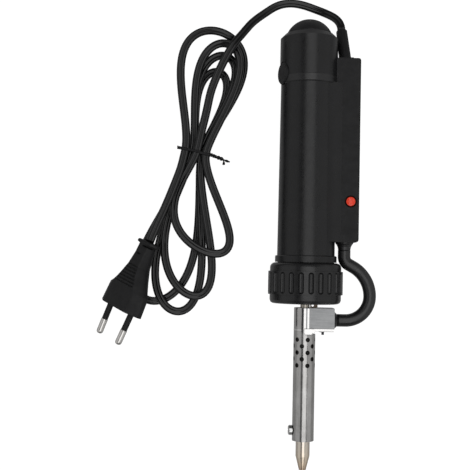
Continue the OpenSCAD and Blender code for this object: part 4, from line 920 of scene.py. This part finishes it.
CORE_R = PIN_R - 0.6      # the part of a pin inside its sleeve and the plug
PIN_PROFILE = [
    (CORE_R, -8.0), (CORE_R, SLEEVE_LEN), (1.88, SLEEVE_LEN), (1.99, SLEEVE_LEN + 0.12),
    (PIN_R, SLEEVE_LEN + 0.4), (PIN_R, PIN_LEN - 1.9), (1.96, PIN_LEN - 1.4),
    (1.82, PIN_LEN - 0.85), (1.55, PIN_LEN - 0.4), (1.15, PIN_LEN - 0.1), (0.8, PIN_LEN),
    (0.62, PIN_LEN - 0.08), (0.5, PIN_LEN - 0.5), (0.4, PIN_LEN - 1.0),
]
for side, name in ((-1, "left"), (1, "right")):
    place = (PLUG @ Matrix.Translation(Vector((side * PIN_PITCH / 2, 0, PLUG_LEN)))
             @ Matrix.Rotation(-side * PIN_LEAN, 4, "Y"))
    rings = [[place @ p for p in ring] for ring in turned(PIN_PROFILE, 48)]
    pin = loft("pin_" + name, rings, PIN_NICKEL, "barrel_body")
    sharpen(pin, 50)
    if side < 0:
        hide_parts("plug_pins")

# ---- Camera, bench and light, in metres ----

FOCAL_PX, FRAME_PX = 913, 470      # the photo's focal length and width, in its pixels
SENSOR = 36.0
CAMERA_AT = (-0.050425, 0.0038, 0.5456)
CAMERA_ROLL = math.radians(1.115)

BENCH_R, COVE_R, WALL_TOP = 2.0, 2.0, 6.0
BENCH_DROP = 0.0004

LIGHT_LEN, LIGHT_AWAY = 2.6, 1.4

camera_data = bpy.data.cameras.new("camera")
camera_data.sensor_width = SENSOR
camera_data.lens = FOCAL_PX / FRAME_PX * SENSOR
camera = bpy.data.objects.new("camera", camera_data)
camera.location = CAMERA_AT
camera.rotation_euler = (0.0, 0.0, CAMERA_ROLL)
bpy.context.scene.collection.objects.link(camera)
bpy.context.scene.camera = camera


def bench():
    """A white bench top that runs up into a seamless cove all round."""
    mat, nodes, links, shader = new_material("bench_white")
    tone = noise(nodes, links, coords(nodes, links), 9)
    links.new(ramp(nodes, links, tone, [(0.3, (0.24, 0.24, 0.24)), (0.7, (0.26, 0.26, 0.26))]),
              shader.inputs["Base Color"])
    shader.inputs["Roughness"].default_value = 0.9
    shader.inputs["Specular IOR Level"].default_value = 0.0
    shader.inputs["Emission Color"].default_value = (1.0, 1.0, 1.0, 1.0)
    shader.inputs["Emission Strength"].default_value = 0.96
    profile = []
    for k in range(13):
        a = math.pi / 2 * k / 12
        profile.append((BENCH_R + COVE_R * math.sin(a), COVE_R - COVE_R * math.cos(a) - BENCH_DROP))
    profile.append((BENCH_R + COVE_R, WALL_TOP))
    skin = turned(profile, 64)
    top = loft("bench", skin, mat, None, caps=False)
    floor = add_mesh("bench_floor", skin[0], [tuple(range(64))], mat, None)
    for piece in (top, floor):
        piece.visible_diffuse = False
        piece.visible_glossy = False
        piece.visible_shadow = False
    return top, floor


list(bench())


def soft_light(name, degrees, half_degrees, radiance):
    """A long soft box by its angle from overhead and half the angle that it fills."""
    a = math.radians(degrees)
    width = 2 * LIGHT_AWAY * math.tan(math.radians(half_degrees))
    light = bpy.data.lights.new(name, "AREA")
    light.shape = "RECTANGLE"
    light.size, light.size_y = LIGHT_LEN, width
    light.energy = radiance * math.pi * LIGHT_LEN * width
    obj = bpy.data.objects.new(name, light)
    obj.location = (LIGHT_AWAY * math.sin(a), 0.0, LIGHT_AWAY * math.cos(a))
    obj.rotation_euler = (Vector() - obj.location).to_track_quat("-Z", "Y").to_euler()
    bpy.context.scene.collection.objects.link(obj)


soft_light("key", 5, 20, 1.0)
soft_light("left", -61, 25, 0.36)
soft_light("right", 58, 27, 0.38)

world = bpy.data.worlds.new("studio")
world.use_nodes = True
sky_nodes, sky_links = world.node_tree.nodes, world.node_tree.links
sky_at = sky_nodes.new("ShaderNodeTexCoord")
sky_split = sky_nodes.new("ShaderNodeSeparateXYZ")
sky_links.new(sky_at.outputs["Generated"], sky_split.inputs["Vector"])
sky = ramp(sky_nodes, sky_links, sky_split.outputs["Z"],
           [(0.0, (0.30, 0.30, 0.30)), (0.12, (0.10, 0.10, 0.10))])
sky_links.new(sky, sky_nodes["Background"].inputs["Color"])
bpy.context.scene.world = world
bpy.context.scene.view_settings.view_transform = "Standard"
bpy.context.scene.view_settings.look = "None"

# ---- The mains lead's length, and the end ----

length = sum((cord_path[i] - cord_path[i - 1]).length for i in range(1, len(cord_path)))
print("mains lead's middle line, in metres:", round(length, 4))
